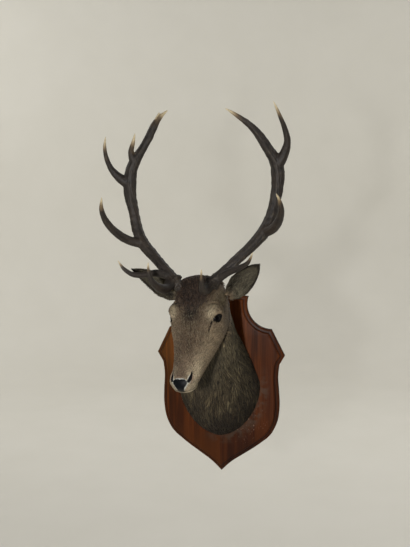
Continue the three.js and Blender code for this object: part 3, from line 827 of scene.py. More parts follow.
def head_colour(q, rough, fine):
    """The colour of the head above the muzzle. Rough and fine are noise at the points."""
    m = mirrored(q)
    _, y, z = m.T
    c = np.tile(srgb(118, 100, 80), (len(q), 1))
    c = patches(c, q, BASE_PATCHES)
    c = paint(c, 0.8 * smoothstep(30, 100, y + 0.2 * z), (74, 62, 47))
    # the forehead's dark hair, with a ragged edge
    up, out = forehead_place(q)
    top = smoothstep(-22, 6, up - 5 * rough - 3 * fine) * smoothstep(56, 36, out + 4 * rough)
    top *= smoothstep(20, -25, y)
    c = paint(c, 0.93 * top, (43, 32, 26))
    c = paint(c, top * 0.5 * smoothstep(0.1, 0.8, grain3(q, 26, 7)), (66, 48, 38))
    c = paint(c, blob(q, (3, -52, -25), (27, 22, 24)) * (0.95 + 0.35 * rough), (24, 21, 20))
    c = patches(c, q, BROW_PATCHES)
    # painted shade in the crease of the brow fold above the eye
    gap, along = line_gap(m, FOLD_LINE)
    c = paint(c, 0.95 * np.exp(-(gap / 4.2) ** 2) * smoothstep(0, 0.15, along), (40, 32, 25))
    gap, along = line_gap(m, DUCT_LINE)
    c = paint(c, smoothstep(5.2 - 1.6 * along, 2.6 - 0.6 * along, gap), (20, 15, 12))
    c = paint(c, 0.8 * blob(m, (56.5, -23, -68), (5, 8, 5)), (160, 146, 116))
    return paint(c, smoothstep(2.8, 1.2, lid_gap(m)) * near_eye(m), (8, 6, 5))


def muzzle_colour(c, q, rough, wet):
    """Adds the pale band above the nose, the rims, the bare nose and the mouth line."""
    m = mirrored(q)
    x, y, z = m.T
    band = smoothstep(-150, -188, z + 3 * rough)
    c = paint(c, 0.75 * band * smoothstep(6, 26, x) * smoothstep(20, -10, y), (182, 167, 140))
    # painted light on the stag's left of the muzzle and cheek, the side turned to the lamp, and painted shade
    # on the right of the muzzle
    c = paint(c, 0.85 * blob(m, (40, -14, -160), (18, 24, 34)) * (q[:, 0] > 0), (204, 187, 157))
    c = paint(c, 0.6 * blob(q, (50, 0, -110), (16, 30, 34)), (182, 164, 134))
    c = paint(c, 0.5 * blob(q, (-26, -30, -178), (14, 26, 22)), (84, 68, 55))
    c = paint(c, 0.55 * band * smoothstep(22, 6, x), (98, 81, 67))
    c = paint(c, 0.85 * smoothstep(-204, -216, z) * smoothstep(-24, -6, y), (150, 138, 116))
    c = paint(c, 0.8 * smoothstep(-196, -206, z) * smoothstep(18, 30, x), (140, 128, 106))
    # pale rims round the bare nose and the nostrils, and the nose itself
    hole, along = nostril_gap(m)
    rim = smoothstep(5.4, 2.0, nose_gap(m)) * (1 - wet)
    round_hole = smoothstep(4.0, 1.5, hole) * smoothstep(0.15, 0.5, along) * (x < 31)
    c = paint(c, 0.85 * np.maximum(rim, round_hole) * smoothstep(-14, -28, y), (168, 170, 164))
    beside = smoothstep(7.0, 5.0, hole) * (x > 28) * smoothstep(0.1, 0.4, along)
    c = paint(c, 0.6 * beside, (150, 122, 102))
    c = paint(c, wet, (5, 7, 11))
    c = paint(c, smoothstep(1.6, 0.2, hole), (5, 5, 7))
    gap, along = line_gap(m, MOUTH_LINE)
    return paint(c, 0.8 * np.exp(-(gap / 2.2) ** 2) * smoothstep(1, 0.7, along), (32, 26, 22))


def neck_colour(p):
    """Brown with streaks and locks, with a painted shadow under the jaw, darker low down, and painted shade
    on the stag's left side.
    """
    x, y, z = p.T
    streaks = grain3(p * np.array([1, 0.22, 0.16]), 9, 5)
    locks = grain3(p * np.array([1, 0.3, 0.2]), 26, 8)
    c = np.tile(srgb(71, 60, 43), (len(p), 1))
    c = paint(c, 0.5 + 0.5 * streaks, (50, 42, 30))
    c = paint(c, 0.55 * smoothstep(0.1, 0.9, locks), (34, 27, 19))
    c = paint(c, 0.4 * smoothstep(-0.2, -0.9, locks), (98, 89, 68))
    # painted shade on the stag's left side of the neck, where the light only grazes it
    c = paint(c, 0.7 * smoothstep(40, 115, x), (31, 25, 17))
    # painted shadow of the jaw on the hair of the throat
    c = paint(c, 0.95 * np.exp(-(line_gap(p, JAW_SHADOW_LINE)[0] / 21) ** 2), (17, 11, 8))
    c = paint(c, 0.55 * smoothstep(-150, 60, z) * smoothstep(-40, -120, y), (88, 80, 61))
    parting = np.abs(x - 12 + 0.10 * (z + 150))
    c = paint(c, 0.75 * np.exp(-(parting / 9) ** 2) * smoothstep(-110, -170, z), (34, 27, 20))
    return paint(c, 0.85 * smoothstep(-90, -210, z), (31, 23, 14))


def ear_colour(t, across, depth):
    """Brown outside, paler and streaked inside, with a dark rim, tip and hollow."""
    inside = smoothstep(0.35, 0.7, depth)
    spot = np.column_stack([t, across])
    streaks = grain3(np.column_stack([across * 30, t * 14, depth]), 9, 6)
    c = np.tile(srgb(66, 59, 47), (len(t), 1))
    c = paint(c, inside, (82, 76, 63))
    c = paint(c, inside * blob(spot, (0.22, -0.5), (0.24, 0.26)), (20, 17, 14))
    c = paint(c, inside * 0.6 * blob(spot, (0.55, 0.1), (0.2, 0.4)), (104, 98, 82))
    base = smoothstep(0.34, 0.08, t) * smoothstep(-0.3, 0.3, across)
    c = paint(c, inside * 0.6 * base, (128, 119, 98))
    c = paint(c, 0.4 * smoothstep(0.1, 0.9, streaks), (104, 97, 79))
    rim = smoothstep(0.72, 0.95, np.abs(across)) * smoothstep(0.2, 0.55, t)
    c = paint(c, 0.95 * rim, (33, 27, 23))
    return paint(c, 0.95 * smoothstep(0.72, 0.92, t + 0.05 * streaks), (30, 25, 21))


def coat_colour(p):
    """The coat's colour and wetness at points of the skin, which the tufts take from their roots."""
    q = to_head(p)
    rough, fine = grain3(q, 14, 3), grain3(q, 5, 4)
    wet = nose_mask(mirrored(q))
    c = muzzle_colour(head_colour(q, rough, fine), q, rough, wet)
    on_neck = smoothstep(-12, 20, head_field(q) - neck_field(p))[:, None]
    c = c * (1 - on_neck) + neck_colour(p) * on_neck
    c = c * (1 + 0.15 * fine + 0.15 * rough + 0.09 * grain3(q, 32, 9))[:, None]
    t, across, depth = ear_place(q)
    on_ear = smoothstep(0.0, 0.14, t) * smoothstep(1.0, 6.0, bare_field(p)) * (np.abs(across) < 2.2)
    c = c * (1 - on_ear[:, None]) + ear_colour(t, across, depth) * on_ear[:, None]
    return np.clip(c, 0, 1), wet


def nose_gap(m):
    """About how far a head point lies outside the outline of the bare nose."""
    # the pad is broad above, with a corner beside each nostril, and narrows to the lip
    x, y, z = m.T
    half = np.interp(z, [-232, -227, -221, -214, -208, -204, -199], [5, 9, 14, 19.5, 20.5, 14, 4])
    above = z + 205 + 0.15 * (18 - x) * (x > 8) - 0.20 * x
    return np.maximum(np.maximum(x - half, above), y + 12)


def nose_mask(m):
    """1 on the bare nose."""
    return smoothstep(1.4, -1.0, nose_gap(m)) * smoothstep(-190, -198, m[:, 2])


# ---------------------------------------------------------------- skin
SKIN_BOX = (-152, -478, -285), (152, -14, 290)  # holds head and neck
GRID_STEP, DRAFT_STEP = 4.0, 5.0
# edges longer than these are halved: on the face, at its details, and there in the last passes
FACE_EDGE, DETAIL_EDGE, FINE_EDGE = 2.6, 1.6, 1.45


def build_skin():
    """Head and neck as one mesh: coarse on the neck, fine on the face, finest at its details."""
    step = GRID_STEP
    points, faces = surface_nets(bare_field, *SKIN_BOX, step)
    points = relax(points, faces, 3)
    points = project(bare_field, points, rounds=3)

    def on_face(middle, length):
        q = to_head(middle)
        return (q[:, 1] < 70) & (q[:, 2] < 110) & (length > FACE_EDGE)

    def at_detail(limit):
        def wanted(middle, length):
            m = mirrored(to_head(middle))
            duct = line_gap(m, DUCT_LINE)[0] < 11
            nose = (m[:, 2] < -172) & (m[:, 1] < 16)
            fold = line_gap(m, FOLD_LINE)[0] < 8
            return (near_eye(m) | duct | nose | fold) & (length > limit)
        return wanted

    points, faces = refine(points, faces, on_face)
    points, faces = refine(points, faces, at_detail(DETAIL_EDGE))
    points = project(skin_field, points, rounds=4)
    points, faces = refine(points, faces, at_detail(FINE_EDGE))
    points = project(skin_field, points, rounds=3, reach=2)
    points, faces = refine(points, faces, at_detail(FINE_EDGE))
    points = relax(points, faces, 1, 0.4)
    points = project(skin_field, points, rounds=3, reach=1.5)
    return points, faces


SEAM_WIDTH = 6  # how far the softening of the ears' seam reaches


def seam_share(points, first, others):
    """1 along the new points where the ears leave the head, fading over a few millimetres."""
    old = np.concatenate([first] + [p for p, _ in others.values()]).astype(np.float32)
    known = set(map(tuple, np.round(old.astype(float), 1).tolist()))
    fresh = np.array([tuple(p) not in known for p in np.round(points, 1).tolist()])
    line = points[fresh]
    share = np.zeros(len(points))
    near, reach = np.zeros(len(points), bool), 2.5 * SEAM_WIDTH
    for p, _ in others.values():
        near |= ((points > p.min(0) - reach) & (points < p.max(0) + reach)).all(1)
    for part in np.array_split(np.flatnonzero(near), 60):
        gap = np.linalg.norm(points[part, None] - line[None], axis=2).min(1)
        share[part] = np.exp(-(gap / SEAM_WIDTH) ** 2)
    return share


def comb(p):
    """Places stretched along the lie of the hair, so that noise on them runs in strands."""
    q = to_head(p)
    head = q * np.array([0.42, 0.42, 0.07])
    _, y, z = p.T
    neck = np.column_stack([p[:, 0], y * 0.84 + z * 0.55, (z * 0.84 - y * 0.55) * 0.14]) * 0.35
    share = neck_share(p)[:, None]
    return head * (1 - share) + neck * share


def skin_material():
    hide = Nodes("coat_skin")
    coat, is_wet = hide.attribute("Coat"), hide.attribute("Wet", "Fac")
    hairs = hide.noise(hide.attribute("Comb", "Vector"), 1.0, 3.0, 0.6)
    pores = hide.noise(hide.place(), 620, 2.0)
    tone = hide.mix(hide.ramp(hairs, 0.35, 0.7, 0, 0.5), coat, hide.mix(0.55, coat, rgba(30, 22, 16)))
    tone = hide.mix(is_wet, tone, hide.mix(pores, rgba(3, 4, 8), rgba(9, 11, 16)))
    hair_rough = hide.mix(hairs, rgba(196, 196, 196), rgba(226, 226, 226))
    nose_rough = hide.mix(pores, rgba(160, 160, 160), rgba(180, 180, 180))
    rough = hide.mix(is_wet, hair_rough, nose_rough)
    hide.set(Base_Color=tone, Roughness=rough, Specular_IOR_Level=0.12)
    hide.bump(hide.mix(is_wet, hairs, pores), 0.5, 0.0010)
    return hide.material


bare_points, bare_faces = build_skin()
ears = {side: build_ear(side) for side in EARS}
skin_points, skin_faces = joined(bare_points, bare_faces, ears.values())
seam = seam_share(skin_points, bare_points, ears)
skin_points = relax(skin_points, skin_faces, 14, 0.5, seam)
skin = make_mesh("skin", skin_points, skin_faces)
colour, wet = coat_colour(skin_points)
add_colour(skin, "Coat", colour)
add_value(skin, "Wet", wet)
add_vector(skin, "Comb", comb(skin_points))
piece(skin, skin_material(), "face_coat", "head", "lower_jaw", "neck_base", "neck_upper", "nose_pad",
      "ear_left", "ear_right")


# ---------------------------------------------------------------- eyes
EYE_SIDES, EYE_RINGS = 72, 44
EYE_BULGE = 0.075  # how far the front stands out, as a share of the radius
PUPIL = (7.5, 4.6)  # half its length and height
IRIS_EDGE = (11.0, 12.6)  # from where to where the iris gives way to its rim


def build_eye(side):
    """A glass eye whose front bulges, with a nearly black iris and a wide pupil."""
    turn, rise = np.meshgrid(2 * np.pi * np.arange(EYE_SIDES) / EYE_SIDES,
                             np.pi * np.arange(EYE_RINGS + 1) / EYE_RINGS)
    along, away = np.cos(rise).ravel(), np.sin(rise).ravel()
    bulge = 1 + EYE_BULGE * smoothstep(0.55, 0.95, along)
    local = np.column_stack([away * np.cos(turn.ravel()), away * np.sin(turn.ravel()), along])
    local *= (EYE_RADIUS * bulge)[:, None]
    points = EYE_AT + local[:, :1] * EYE_LONG + local[:, 1:2] * EYE_UP + local[:, 2:] * EYE_OUT
    points[:, 0] *= side
    faces = wrapped_quads(np.arange(len(points)).reshape(-1, EYE_SIDES))
    if side > 0:
        faces = faces[:, ::-1]
    obj = make_mesh("eye_glass_" + ("left" if side > 0 else "right"), from_head(points), faces)
    weld = obj.modifiers.new("weld", "WELD")
    weld.merge_threshold = 1e-6
    apply_modifiers(obj)
    local = to_head(read_mesh(obj)[0])
    local[:, 0] *= side
    d = unit(local - EYE_AT)
    along, up = d @ EYE_LONG * EYE_RADIUS, d @ EYE_UP * EYE_RADIUS
    r = np.hypot(along, up)
    spoke = 0.5 + 0.5 * np.sin(np.arctan2(up, along) * 34 + 3 * np.sin(r))
    c = np.tile(srgb(7, 5, 4), (len(local), 1))
    c = paint(c, 0.4 * spoke, (12, 8, 5))
    c = paint(c, smoothstep(1.15, 0.95, np.hypot(along / PUPIL[0], up / PUPIL[1])), (5, 4, 5))
    c = paint(c, smoothstep(*IRIS_EDGE, r), (12, 9, 8))
    add_colour(obj, "Iris", c)
    return obj


def glass_material():
    glass = Nodes("eye_glass")
    glass.set(Base_Color=glass.attribute("Iris"), Roughness=0.2, Coat_Weight=0.1, Coat_Roughness=0.03,
              IOR=1.35, Specular_IOR_Level=0.12)
    return glass.material


glass = glass_material()
for side, name in ((1, "eye_left"), (-1, "eye_right")):
    piece(build_eye(side), glass, "eye_glass", name)


# ---------------------------------------------------------------- board
BOARD = dict(
    tip=(208, 0), corner=(166, 83.5), scoop=(167, 161, 78), shoulder=(93.5, 187), crest=206,
    flank=[(190, -31), (186, -72), (189, -120), (190, -165), (184, -211), (168, -248)],
    skirt=[(150, -270), (110, -301), (69, -329), (33, -354)], foot=-385)
# distance in from the outline, and height above the wall
BOARD_PROFILE = [
    (0.9, 0), (0, 1.0), (0, 10.6), (0.5, 12.0), (2.0, 13.7), (4.5, 15.0), (7.5, 15.5), (10.2, 15.8),
    (11.2, 16.2), (11.7, 17.2), (12.1, 18.8), (12.7, 20.0), (13.8, 21.0), (15.2, 21.7), (17.0, 22.0)]


def cubic(b, c, start, end, t):
    """The point at t from b to c, leaving b and meeting c in these directions."""
    bend = -3 * b + 3 * c - 2 * start - end
    return (2 * b - 2 * c + start + end) * t ** 3 + bend * t ** 2 + start * t + b


def spline2(points, count):
    """The points of a uniform Catmull-Rom line, as the CAD's outline has it."""
    p = np.array(points, float)
    out = []
    for k in range(len(p) - 1):
        a, b, c, d = p[max(k - 1, 0)], p[k], p[k + 1], p[min(k + 2, len(p) - 1)]
        for t in np.arange(1, count + 1) / count:
            out.append(cubic(b, c, (c - a) / 2, (d - b) / 2, t))
    return out


def board_outline():
    """The shield's outline seen from the front, from its foot up the stag's left and down its right."""
    foot = (0, BOARD["foot"])
    skirt, flank = BOARD["skirt"][::-1], BOARD["flank"][::-1]
    half = [np.array(foot, float)] + spline2([foot] + skirt, 8) + spline2([skirt[-1]] + flank, 8)
    half += [np.array(BOARD["tip"], float), np.array(BOARD["corner"], float)]
    cx, cz, radius = BOARD["scoop"]
    start = math.atan2(BOARD["corner"][1] - cz, BOARD["corner"][0] - cx)
    end = math.atan2(BOARD["shoulder"][1] - cz, BOARD["shoulder"][0] - cx) - 2 * math.pi
    for t in np.arange(1, 29) / 28:
        angle = start + (end - start) * t
        half.append(np.array([cx + radius * math.cos(angle), cz + radius * math.sin(angle)]))
    # the top is a low arch
    across, up = BOARD["shoulder"]
    a, b, c = half[-1], np.array([across / 2, up + 4]), np.array([0, BOARD["crest"]])
    for t in np.arange(1, 13) / 12:
        half.append(a * (1 - t) ** 2 + 2 * b * t * (1 - t) + c * t ** 2)
    right = np.array(half)
    left = right[1:-1][::-1] * [-1, 1]
    return np.concatenate([right, left])


def inset(outline, distance):
    """The outline moved inwards."""
    first = unit(outline - np.roll(outline, 1, 0))
    second = unit(np.roll(outline, -1, 0) - outline)
    normal = unit(np.column_stack([-first[:, 1] - second[:, 1], first[:, 0] + second[:, 0]]))
    spread = np.maximum(0.45, (normal * np.column_stack([-first[:, 1], first[:, 0]])).sum(1))
    moved = outline + normal * (distance / spread)[:, None]
    # a point that crossed another side's line goes to the nearest one that didn't
    a, b = outline, np.roll(outline, -1, 0)
    along = ((moved[:, None] - a) * (b - a)).sum(2) / ((b - a) ** 2).sum(1)
    foot = a + np.clip(along, 0, 1)[..., None] * (b - a)
    gap = np.linalg.norm(moved[:, None] - foot, axis=2).min(1)
    good = np.flatnonzero(gap > distance - 0.05)
    count = len(outline)
    steps = np.abs(np.arange(count)[:, None] - good)
    nearest = good[np.minimum(steps, count - steps).argmin(1)]
    return moved[nearest]


def build_board():
    """The shield: its outline stepped inwards along the moulding's profile."""
    outline = board_outline()
    count = len(outline)
    layers = [np.insert(inset(outline, away), 1, -height, axis=1) for away, height in BOARD_PROFILE]
    points = np.concatenate(layers)
    mesh = bpy.data.meshes.new("board_wood")
    faces = wrapped_quads(np.arange(len(points)).reshape(-1, count)).tolist()
    # the front and the back are strips from side to side
    last = (len(layers) - 1) * count
    for k in range(count // 2):
        low, high = (count - k) % count, count - k - 1
        strip = [k, k + 1] + ([high] if high != k + 1 else []) + ([low] if low != k else [])
        faces += [tuple(last + i for i in strip), tuple(strip[::-1])]
    mesh.from_pydata((points * MM).tolist(), [], faces)
    mesh.polygons.foreach_set("use_smooth", np.ones(len(mesh.polygons), bool))
    mesh.set_sharp_from_angle(angle=math.radians(38))
    obj = bpy.data.objects.new("board_wood", mesh)
    bpy.context.scene.collection.objects.link(obj)
    return obj


def wood_material():
    """Two joined boards of dark wood under old varnish, with dust, rubs and painted shade along the
    moulding's step and the sides.
    """
    wood = Nodes("board_varnish")
    at = wood.place()
    split = wood.add("ShaderNodeSeparateXYZ", {"Vector": at})
    x, z = split.outputs["X"], split.outputs["Z"]
    fibres = wood.noise(wood.stretched(at, (420, 60, 11)), 1.0, 3.0, 0.6)
    bands = wood.noise(wood.stretched(at, (42, 14, 2.2)), 1.0, 3.0, 0.55, 0.6)
    figure = wood.noise(wood.stretched(at, (9, 5, 2.0)), 1.0, 2.0, 0.5, 0.8)
    c = wood.mix(wood.ramp(bands, 0.36, 0.66), rgba(52, 24, 6), rgba(98, 49, 14))
    c = wood.mix(wood.ramp(fibres, 0.42, 0.72, 0, 0.55), c, rgba(32, 14, 5))
    c = wood.mix(wood.ramp(figure, 0.35, 0.7, 0, 0.5), c, rgba(70, 32, 11))
    # two boards are joined below the neck: the stag's right one is lighter
    low_down = wood.ramp(z, -0.20, -0.33)
    pale = wood.times(wood.ramp(x, 0.0006, -0.0006), low_down)
    c = wood.mix(wood.times(pale, 0.65), c, rgba(86, 45, 12))
    dark = wood.times(wood.ramp(x, 0.0005, 0.03), low_down)
    c = wood.mix(wood.times(dark, 0.6), c, rgba(40, 17, 7))
    join = wood.ramp(wood.math("ABSOLUTE", x), 0.0012, 0.0002)
    c = wood.mix(wood.times(join, 0.7), c, rgba(30, 14, 9))
    # dust in the angle under the neck, on the stag's left
    dust = wood.times(wood.ramp(wood.oval((0.004, -0.092), (0.141, 0.178)), 1.16, 1.0),
                      wood.ramp(wood.math("SUBTRACT", x, wood.times(z, 0.9)), 0.16, 0.26))
    dust = wood.times(dust, wood.ramp(wood.noise(at, 55, 4), 0.35, 0.62))
    c = wood.mix(wood.times(dust, 0.55), c, rgba(84, 74, 62))
    # rubs through the varnish near the lower edge
    grains = wood.noise(wood.stretched(at, (260, 50, 170), (0, 0.5, 0)), 1.0, 3.0)
    rubs = wood.times(wood.ramp(grains, 0.64, 0.70),
                      wood.ramp(wood.oval((0.085, -0.215), (0.085, 0.09)), 1.0, 0.4))
    c = wood.mix(wood.times(rubs, 0.75), c, rgba(190, 150, 130))
    # the wood is darker towards the stag's left and the foot
    c = wood.mix(wood.ramp(x, -0.06, 0.12, 0, 0.12), c, rgba(34, 15, 8))
    c = wood.mix(wood.ramp(z, -0.02, -0.30, 0, 0.36), c, rgba(34, 14, 7))
    light = wood.times(wood.ramp(x, -0.05, -0.14, 0, 0.3), wood.ramp(z, -0.16, 0.02))
    c = wood.mix(light, c, rgba(118, 76, 30))
    # painted shade on the moulding's step and on the board's sides
    c = wood.mix(wood.times(wood.attribute("EdgeShade", "Fac"), 0.85), c, rgba(24, 12, 8))
    wood.set(Base_Color=c, Roughness=wood.ramp(fibres, 0.3, 0.8, 0.46, 0.62), Coat_Weight=0.04,
             Coat_Roughness=0.3, Specular_IOR_Level=0.08)
    wood.bump(wood.math("ADD", fibres, wood.times(join, -1.5)), 0.25, 0.0006)
    return wood.material


board = build_board()
heights = -read_mesh(board)[0][:, 1]
# painted shade: dark along the moulding's step and over the sides and outer bevel
moulding = np.exp(-((heights - 16.8) / 1.6) ** 2) + smoothstep(13.5, 10.5, heights)
add_value(board, "EdgeShade", np.clip(moulding, 0, 1))
piece(board, wood_material(), "board_wood", "board")


# ---------------------------------------------------------------- antlers
ANTLERS = {
    "left": dict(
        beam=[(41, -297, 262, 17), (67, -292, 285, 15.5), (94, -284, 310, 14.5), (129, -270, 344, 15),
              (158, -255, 373, 16.5), (184, -240, 406, 18), (201, -228, 442, 17), (211, -221, 482, 16),
              (219, -216, 527, 17.5), (221, -216, 566, 19.5), (216, -219, 600, 19), (197, -230, 634, 15),
              (176, -246, 670, 13), (153, -260, 699, 9.5), (127, -271, 720, 7.2), (104, -278, 736, 4.7),
              (85, -283, 748, 1.6)],
        brow=[(40, -300, 260, 14), (37, -330, 251, 14), (36, -366, 254, 11.5), (39, -392, 276, 7),
              (41, -402, 295, 4.4), (42, -406, 317, 1.6)],
        bez=[(62, -296, 277, 12), (97, -310, 298, 10.5), (132, -328, 312, 8.6), (159, -347, 330, 6),
             (174, -360, 358, 1.6)],
        trez=[(185, -240, 402, 14), (216, -268, 417, 13.5), (237, -300, 444, 11.5),
              (247, -332, 472, 8), (245, -355, 497, 5), (239, -372, 515, 1.6)],
        crown_outer=[(218, -217, 588, 18), (240, -226, 622, 13.5), (251, -240, 656, 9.7),
                     (246, -258, 691, 7.7), (236, -276, 722, 5.7), (228, -289, 745, 3.8),
                     (221, -296, 761, 1.5)]),
    "right": dict(
        beam=[(-66, -282, 264, 17), (-88, -273, 286, 15.5), (-113, -262, 310, 14.5),
              (-145, -240, 337, 16), (-176, -228, 367, 18), (-196, -220, 406, 16), (-210, -211, 462, 15.5),
              (-221, -206, 506, 18), (-223, -203, 550, 20), (-217, -202, 585, 17.5), (-205, -200, 614, 16.5),
              (-185, -194, 646, 12.4), (-164, -186, 684, 12.2), (-151, -179, 714, 11.5), (-136, -173, 737, 8),
              (-112, -167, 759, 1.8)],
        brow=[(-74, -288, 262, 14), (-82, -325, 250, 14), (-93, -360, 258, 12), (-103, -388, 279, 8.2),
              (-107, -403, 308, 5), (-106, -408, 334, 1.6)],
        bez=[(-88, -280, 282, 12), (-118, -300, 291, 10.2), (-143, -317, 288, 9), (-172, -335, 289, 7.8),
             (-195, -350, 306, 6), (-211, -361, 333, 1.6)],
        trez=[(-176, -228, 368, 14), (-216, -250, 381, 13), (-241, -280, 404, 12),
              (-260, -312, 439, 10), (-264, -336, 475, 7), (-256, -352, 510, 1.6)],
        crown_outer=[(-221, -204, 540, 17), (-254, -214, 565, 13), (-272, -227, 590, 9),
                     (-280, -243, 622, 7), (-279, -256, 652, 5.3), (-271, -268, 682, 1.6)],
        crown_inner=[(-208, -202, 598, 13), (-214, -212, 637, 8.6), (-203, -222, 666, 5.8),
                     (-194, -230, 691, 1.6)],
        crown_snag=[(-148, -180, 716, 8), (-144, -177, 733, 6), (-137, -172, 753, 1.8)])}


LINE_STEPS = 9  # points to each stretch of a branch's line
BRANCH_SIDES = 20
BONE_VOXEL, BONE_DRAFT_VOXEL = 1.9, 2.6


def smooth_line(points, count=LINE_STEPS):
    """A centripetal Catmull-Rom line through points, with any further columns in step."""
    p = np.array(points, float)
    p = np.vstack([2 * p[0] - p[1], p, 2 * p[-1] - p[-2]])
    out = []
    for k in range(1, len(p) - 2):
        a, b, c, d = p[k - 1], p[k], p[k + 1], p[k + 2]
        s, m, e = (max(np.linalg.norm((v - u)[:3]) ** 0.5, 1e-4) for u, v in ((a, b), (b, c), (c, d)))
        start = ((b - a) / s - (c - a) / (s + m) + (c - b) / m) * m
        end = ((c - b) / m - (d - b) / (m + e) + (d - c) / e) * m
        last = k == len(p) - 3
        for t in np.arange(count + (1 if last else 0)) / count:
            h = cubic(b, c, start, end, t)
            h[3:] = b[3:] * (1 - t) + c[3:] * t
            out.append(h)
    return np.array(out)


def frames_along(line):
    """Directions along a line, and two across it that don't twist."""
    ahead = unit(np.gradient(line, axis=0))
    side = np.cross(ahead[0], [0.3, 0.9, 0.2])
    sides = []
    for d in ahead:
        side = unit(side - d * (side @ d))
        sides.append(side)
    sides = np.array(sides)
    return ahead, sides, np.cross(ahead, sides)


def tube(line, radius, sides):
    """A closed tube round a line, with one radius for each of its points, or one for each corner."""
    _, one, two = frames_along(line)
    angle = 2 * np.pi * np.arange(sides) / sides
    ring = one[:, None] * np.cos(angle)[:, None] + two[:, None] * np.sin(angle)[:, None]
    points = (line[:, None] + ring * np.reshape(radius, (len(line), -1, 1))).reshape(-1, 3)
    grid = np.arange(len(line) * sides).reshape(-1, sides)
    faces = wrapped_quads(grid)
    first, last = len(points), len(points) + 1
    points = np.vstack([points, line[0], line[-1]])
    ends = [(first, b, a) for a, b in zip(grid[0], np.roll(grid[0], -1))]
    ends += [(last, a, b) for a, b in zip(grid[-1], np.roll(grid[-1], -1))]
    return points, np.concatenate([faces[:, [0, 1, 2]], faces[:, [0, 2, 3]], np.array(ends)])


def merged(parts):
    """Several meshes as one list of points and one of triangles."""
    points, faces, start = [], [], 0
    for p, f in parts:
        points.append(p)
        faces.append(np.asarray(f) + start)
        start += len(p)
    return np.concatenate(points), np.concatenate(faces)


def remeshed(name, points, faces, voxel):
    """Overlapping closed forms as one even skin."""
    obj = make_mesh(name, points, faces)
    change = obj.modifiers.new("remesh", "REMESH")
    change.mode, change.voxel_size, change.use_smooth_shade = "VOXEL", voxel * MM, True
    apply_modifiers(obj)
    result = read_mesh(obj)
    bpy.data.objects.remove(obj)
    return result


def run_along(line):
    """The distance run to each point of a line."""
    return np.concatenate([[0], np.cumsum(np.linalg.norm(np.diff(line[:, :3], axis=0), axis=1))])


def webs(branches):
    """Bone which fills the angles where the branches leave the beam."""
    parts = []
    beam = smooth_line(branches["beam"])
    for name, points in branches.items():
        if name in ("beam", "crown_snag"):
            continue
        line = smooth_line(points)
        run = run_along(line)
        joint = np.linalg.norm(beam[:, :3] - line[0, :3], axis=1).argmin()
        beam_run = np.linalg.norm(beam[:, :3] - beam[joint, :3], axis=1)
        for reach, size in ((26, 0.62), (36, 0.5)):
            tip = line[np.searchsorted(run, reach + line[0, 3] * 0.6)]
            ahead = joint + np.searchsorted(beam_run[joint:], reach + line[0, 3] * 0.3)
            other = beam[min(ahead, len(beam) - 3)]
            ends = np.array([tip[:3], (tip[:3] + other[:3] + 1.1 * line[0, :3]) / 3.1, other[:3]])
            parts.append(tube(ends, np.array([tip[3], (tip[3] + other[3]) / 2, other[3]]) * size, 16))
    return parts


def antler_foot(foot, up):
    """The stub of bone under the foot, and the burr: a collar of knobs round it."""
    stub = tube(np.array([foot - up * 34, foot - up * 17, foot]), np.array([14, 15, 15.5]), 24)
    count = 48
    angle = 2 * np.pi * np.arange(count) / count
    knobs = 0.10 * np.sin(11 * angle + 1) + 0.05 * np.sin(17 * angle + 2)
    collar = np.array([foot + up * h for h in (-3, -1.5, 1, 4, 7, 10, 13)])
    size = np.array([14.5, 19.5, 23.0, 23.6, 21.0, 18.0, 15.5])[:, None]
    spread = np.array([0.2, 0.8, 1, 1, 0.8, 0.4, 0.1])[:, None]
    return [stub, tube(collar, size * (1 + knobs[None, :] * spread), count)]


def nearest_sample(points, samples):
    """For each point the row of samples whose round of bone is nearest."""
    nearest = np.empty(len(points), int)
    for part in np.array_split(np.arange(len(points)), 24):
        gap = np.linalg.norm(points[part, None] - samples[None, :, :3], axis=2) - samples[None, :, 3]
        nearest[part] = gap.argmin(1)
    return samples[nearest]


def bone_relief(points, samples, foot):
    """The height of ridges, gutters and pearls, which fade towards each tip."""
    radius, run, left = samples[:, 3], samples[:, 4], samples[:, 5]
    one, two, beam = samples[:, 6:9], samples[:, 9:12], samples[:, 12]
    off = points - samples[:, :3]
    angle = np.arctan2((off * two).sum(1), (off * one).sum(1))
    worn = smoothstep(12, 75, left) * (0.55 + 0.45 * beam)
    wander = 1.3 * np.sin(run / 63 + 1) + 0.8 * np.sin(run / 29 + angle)
    ridge = np.sin(9 * angle + wander) * 0.55 + np.sin(5 * angle - 1.4 * wander + 2) * 0.45
    ridge = ridge + 0.5 * np.sin(16 * angle + 2.2 * wander + run / 17)
    grit = grain3(points, 7.5, 21) + 0.7 * grain3(points, 4.6, 22)
    pearl = np.maximum(0, grit - 0.35) * (smoothstep(340, 90, run) * (0.35 + 0.65 * beam) + 0.25)
    height = worn * (0.62 * ridge + 0.7 * pearl - 0.3 * np.abs(grain3(points, 13, 23)))
    height += 0.5 * worn * grain3(points, 24, 24)
    near_foot = np.exp(-(np.linalg.norm(points - foot, axis=1) / 30) ** 2)
    height += near_foot * 0.8 * np.maximum(0, grit)
    return height * np.clip(radius / 9, 0.15, 1)


def bone_colour(points, height, left):
    """Dark in the gutters and paler on the ridges, with ivory tips."""
    c = np.tile(srgb(42, 35, 30), (len(points), 1))
    c = paint(c, 0.8 * smoothstep(0.35, -0.9, height), (18, 14, 12))
    c = paint(c, 0.75 * smoothstep(0.5, 1.6, height), (80, 71, 56))
    c = paint(c, 0.35 * smoothstep(-0.2, 0.9, grain3(points, 90, 25)), (54, 43, 33))
    # the higher a tip is, the more of it is ivory
    reach = np.where(points[:, 2] > 560, 1.5, np.where(points[:, 2] > 380, 1.1, 0.75))
    c = paint(c, 0.85 * smoothstep(46, 12, left / reach + 8 * grain3(points, 30, 26)), (128, 106, 78))
    return paint(c, 0.9 * smoothstep(28, 6, left / reach), (212, 196, 160))


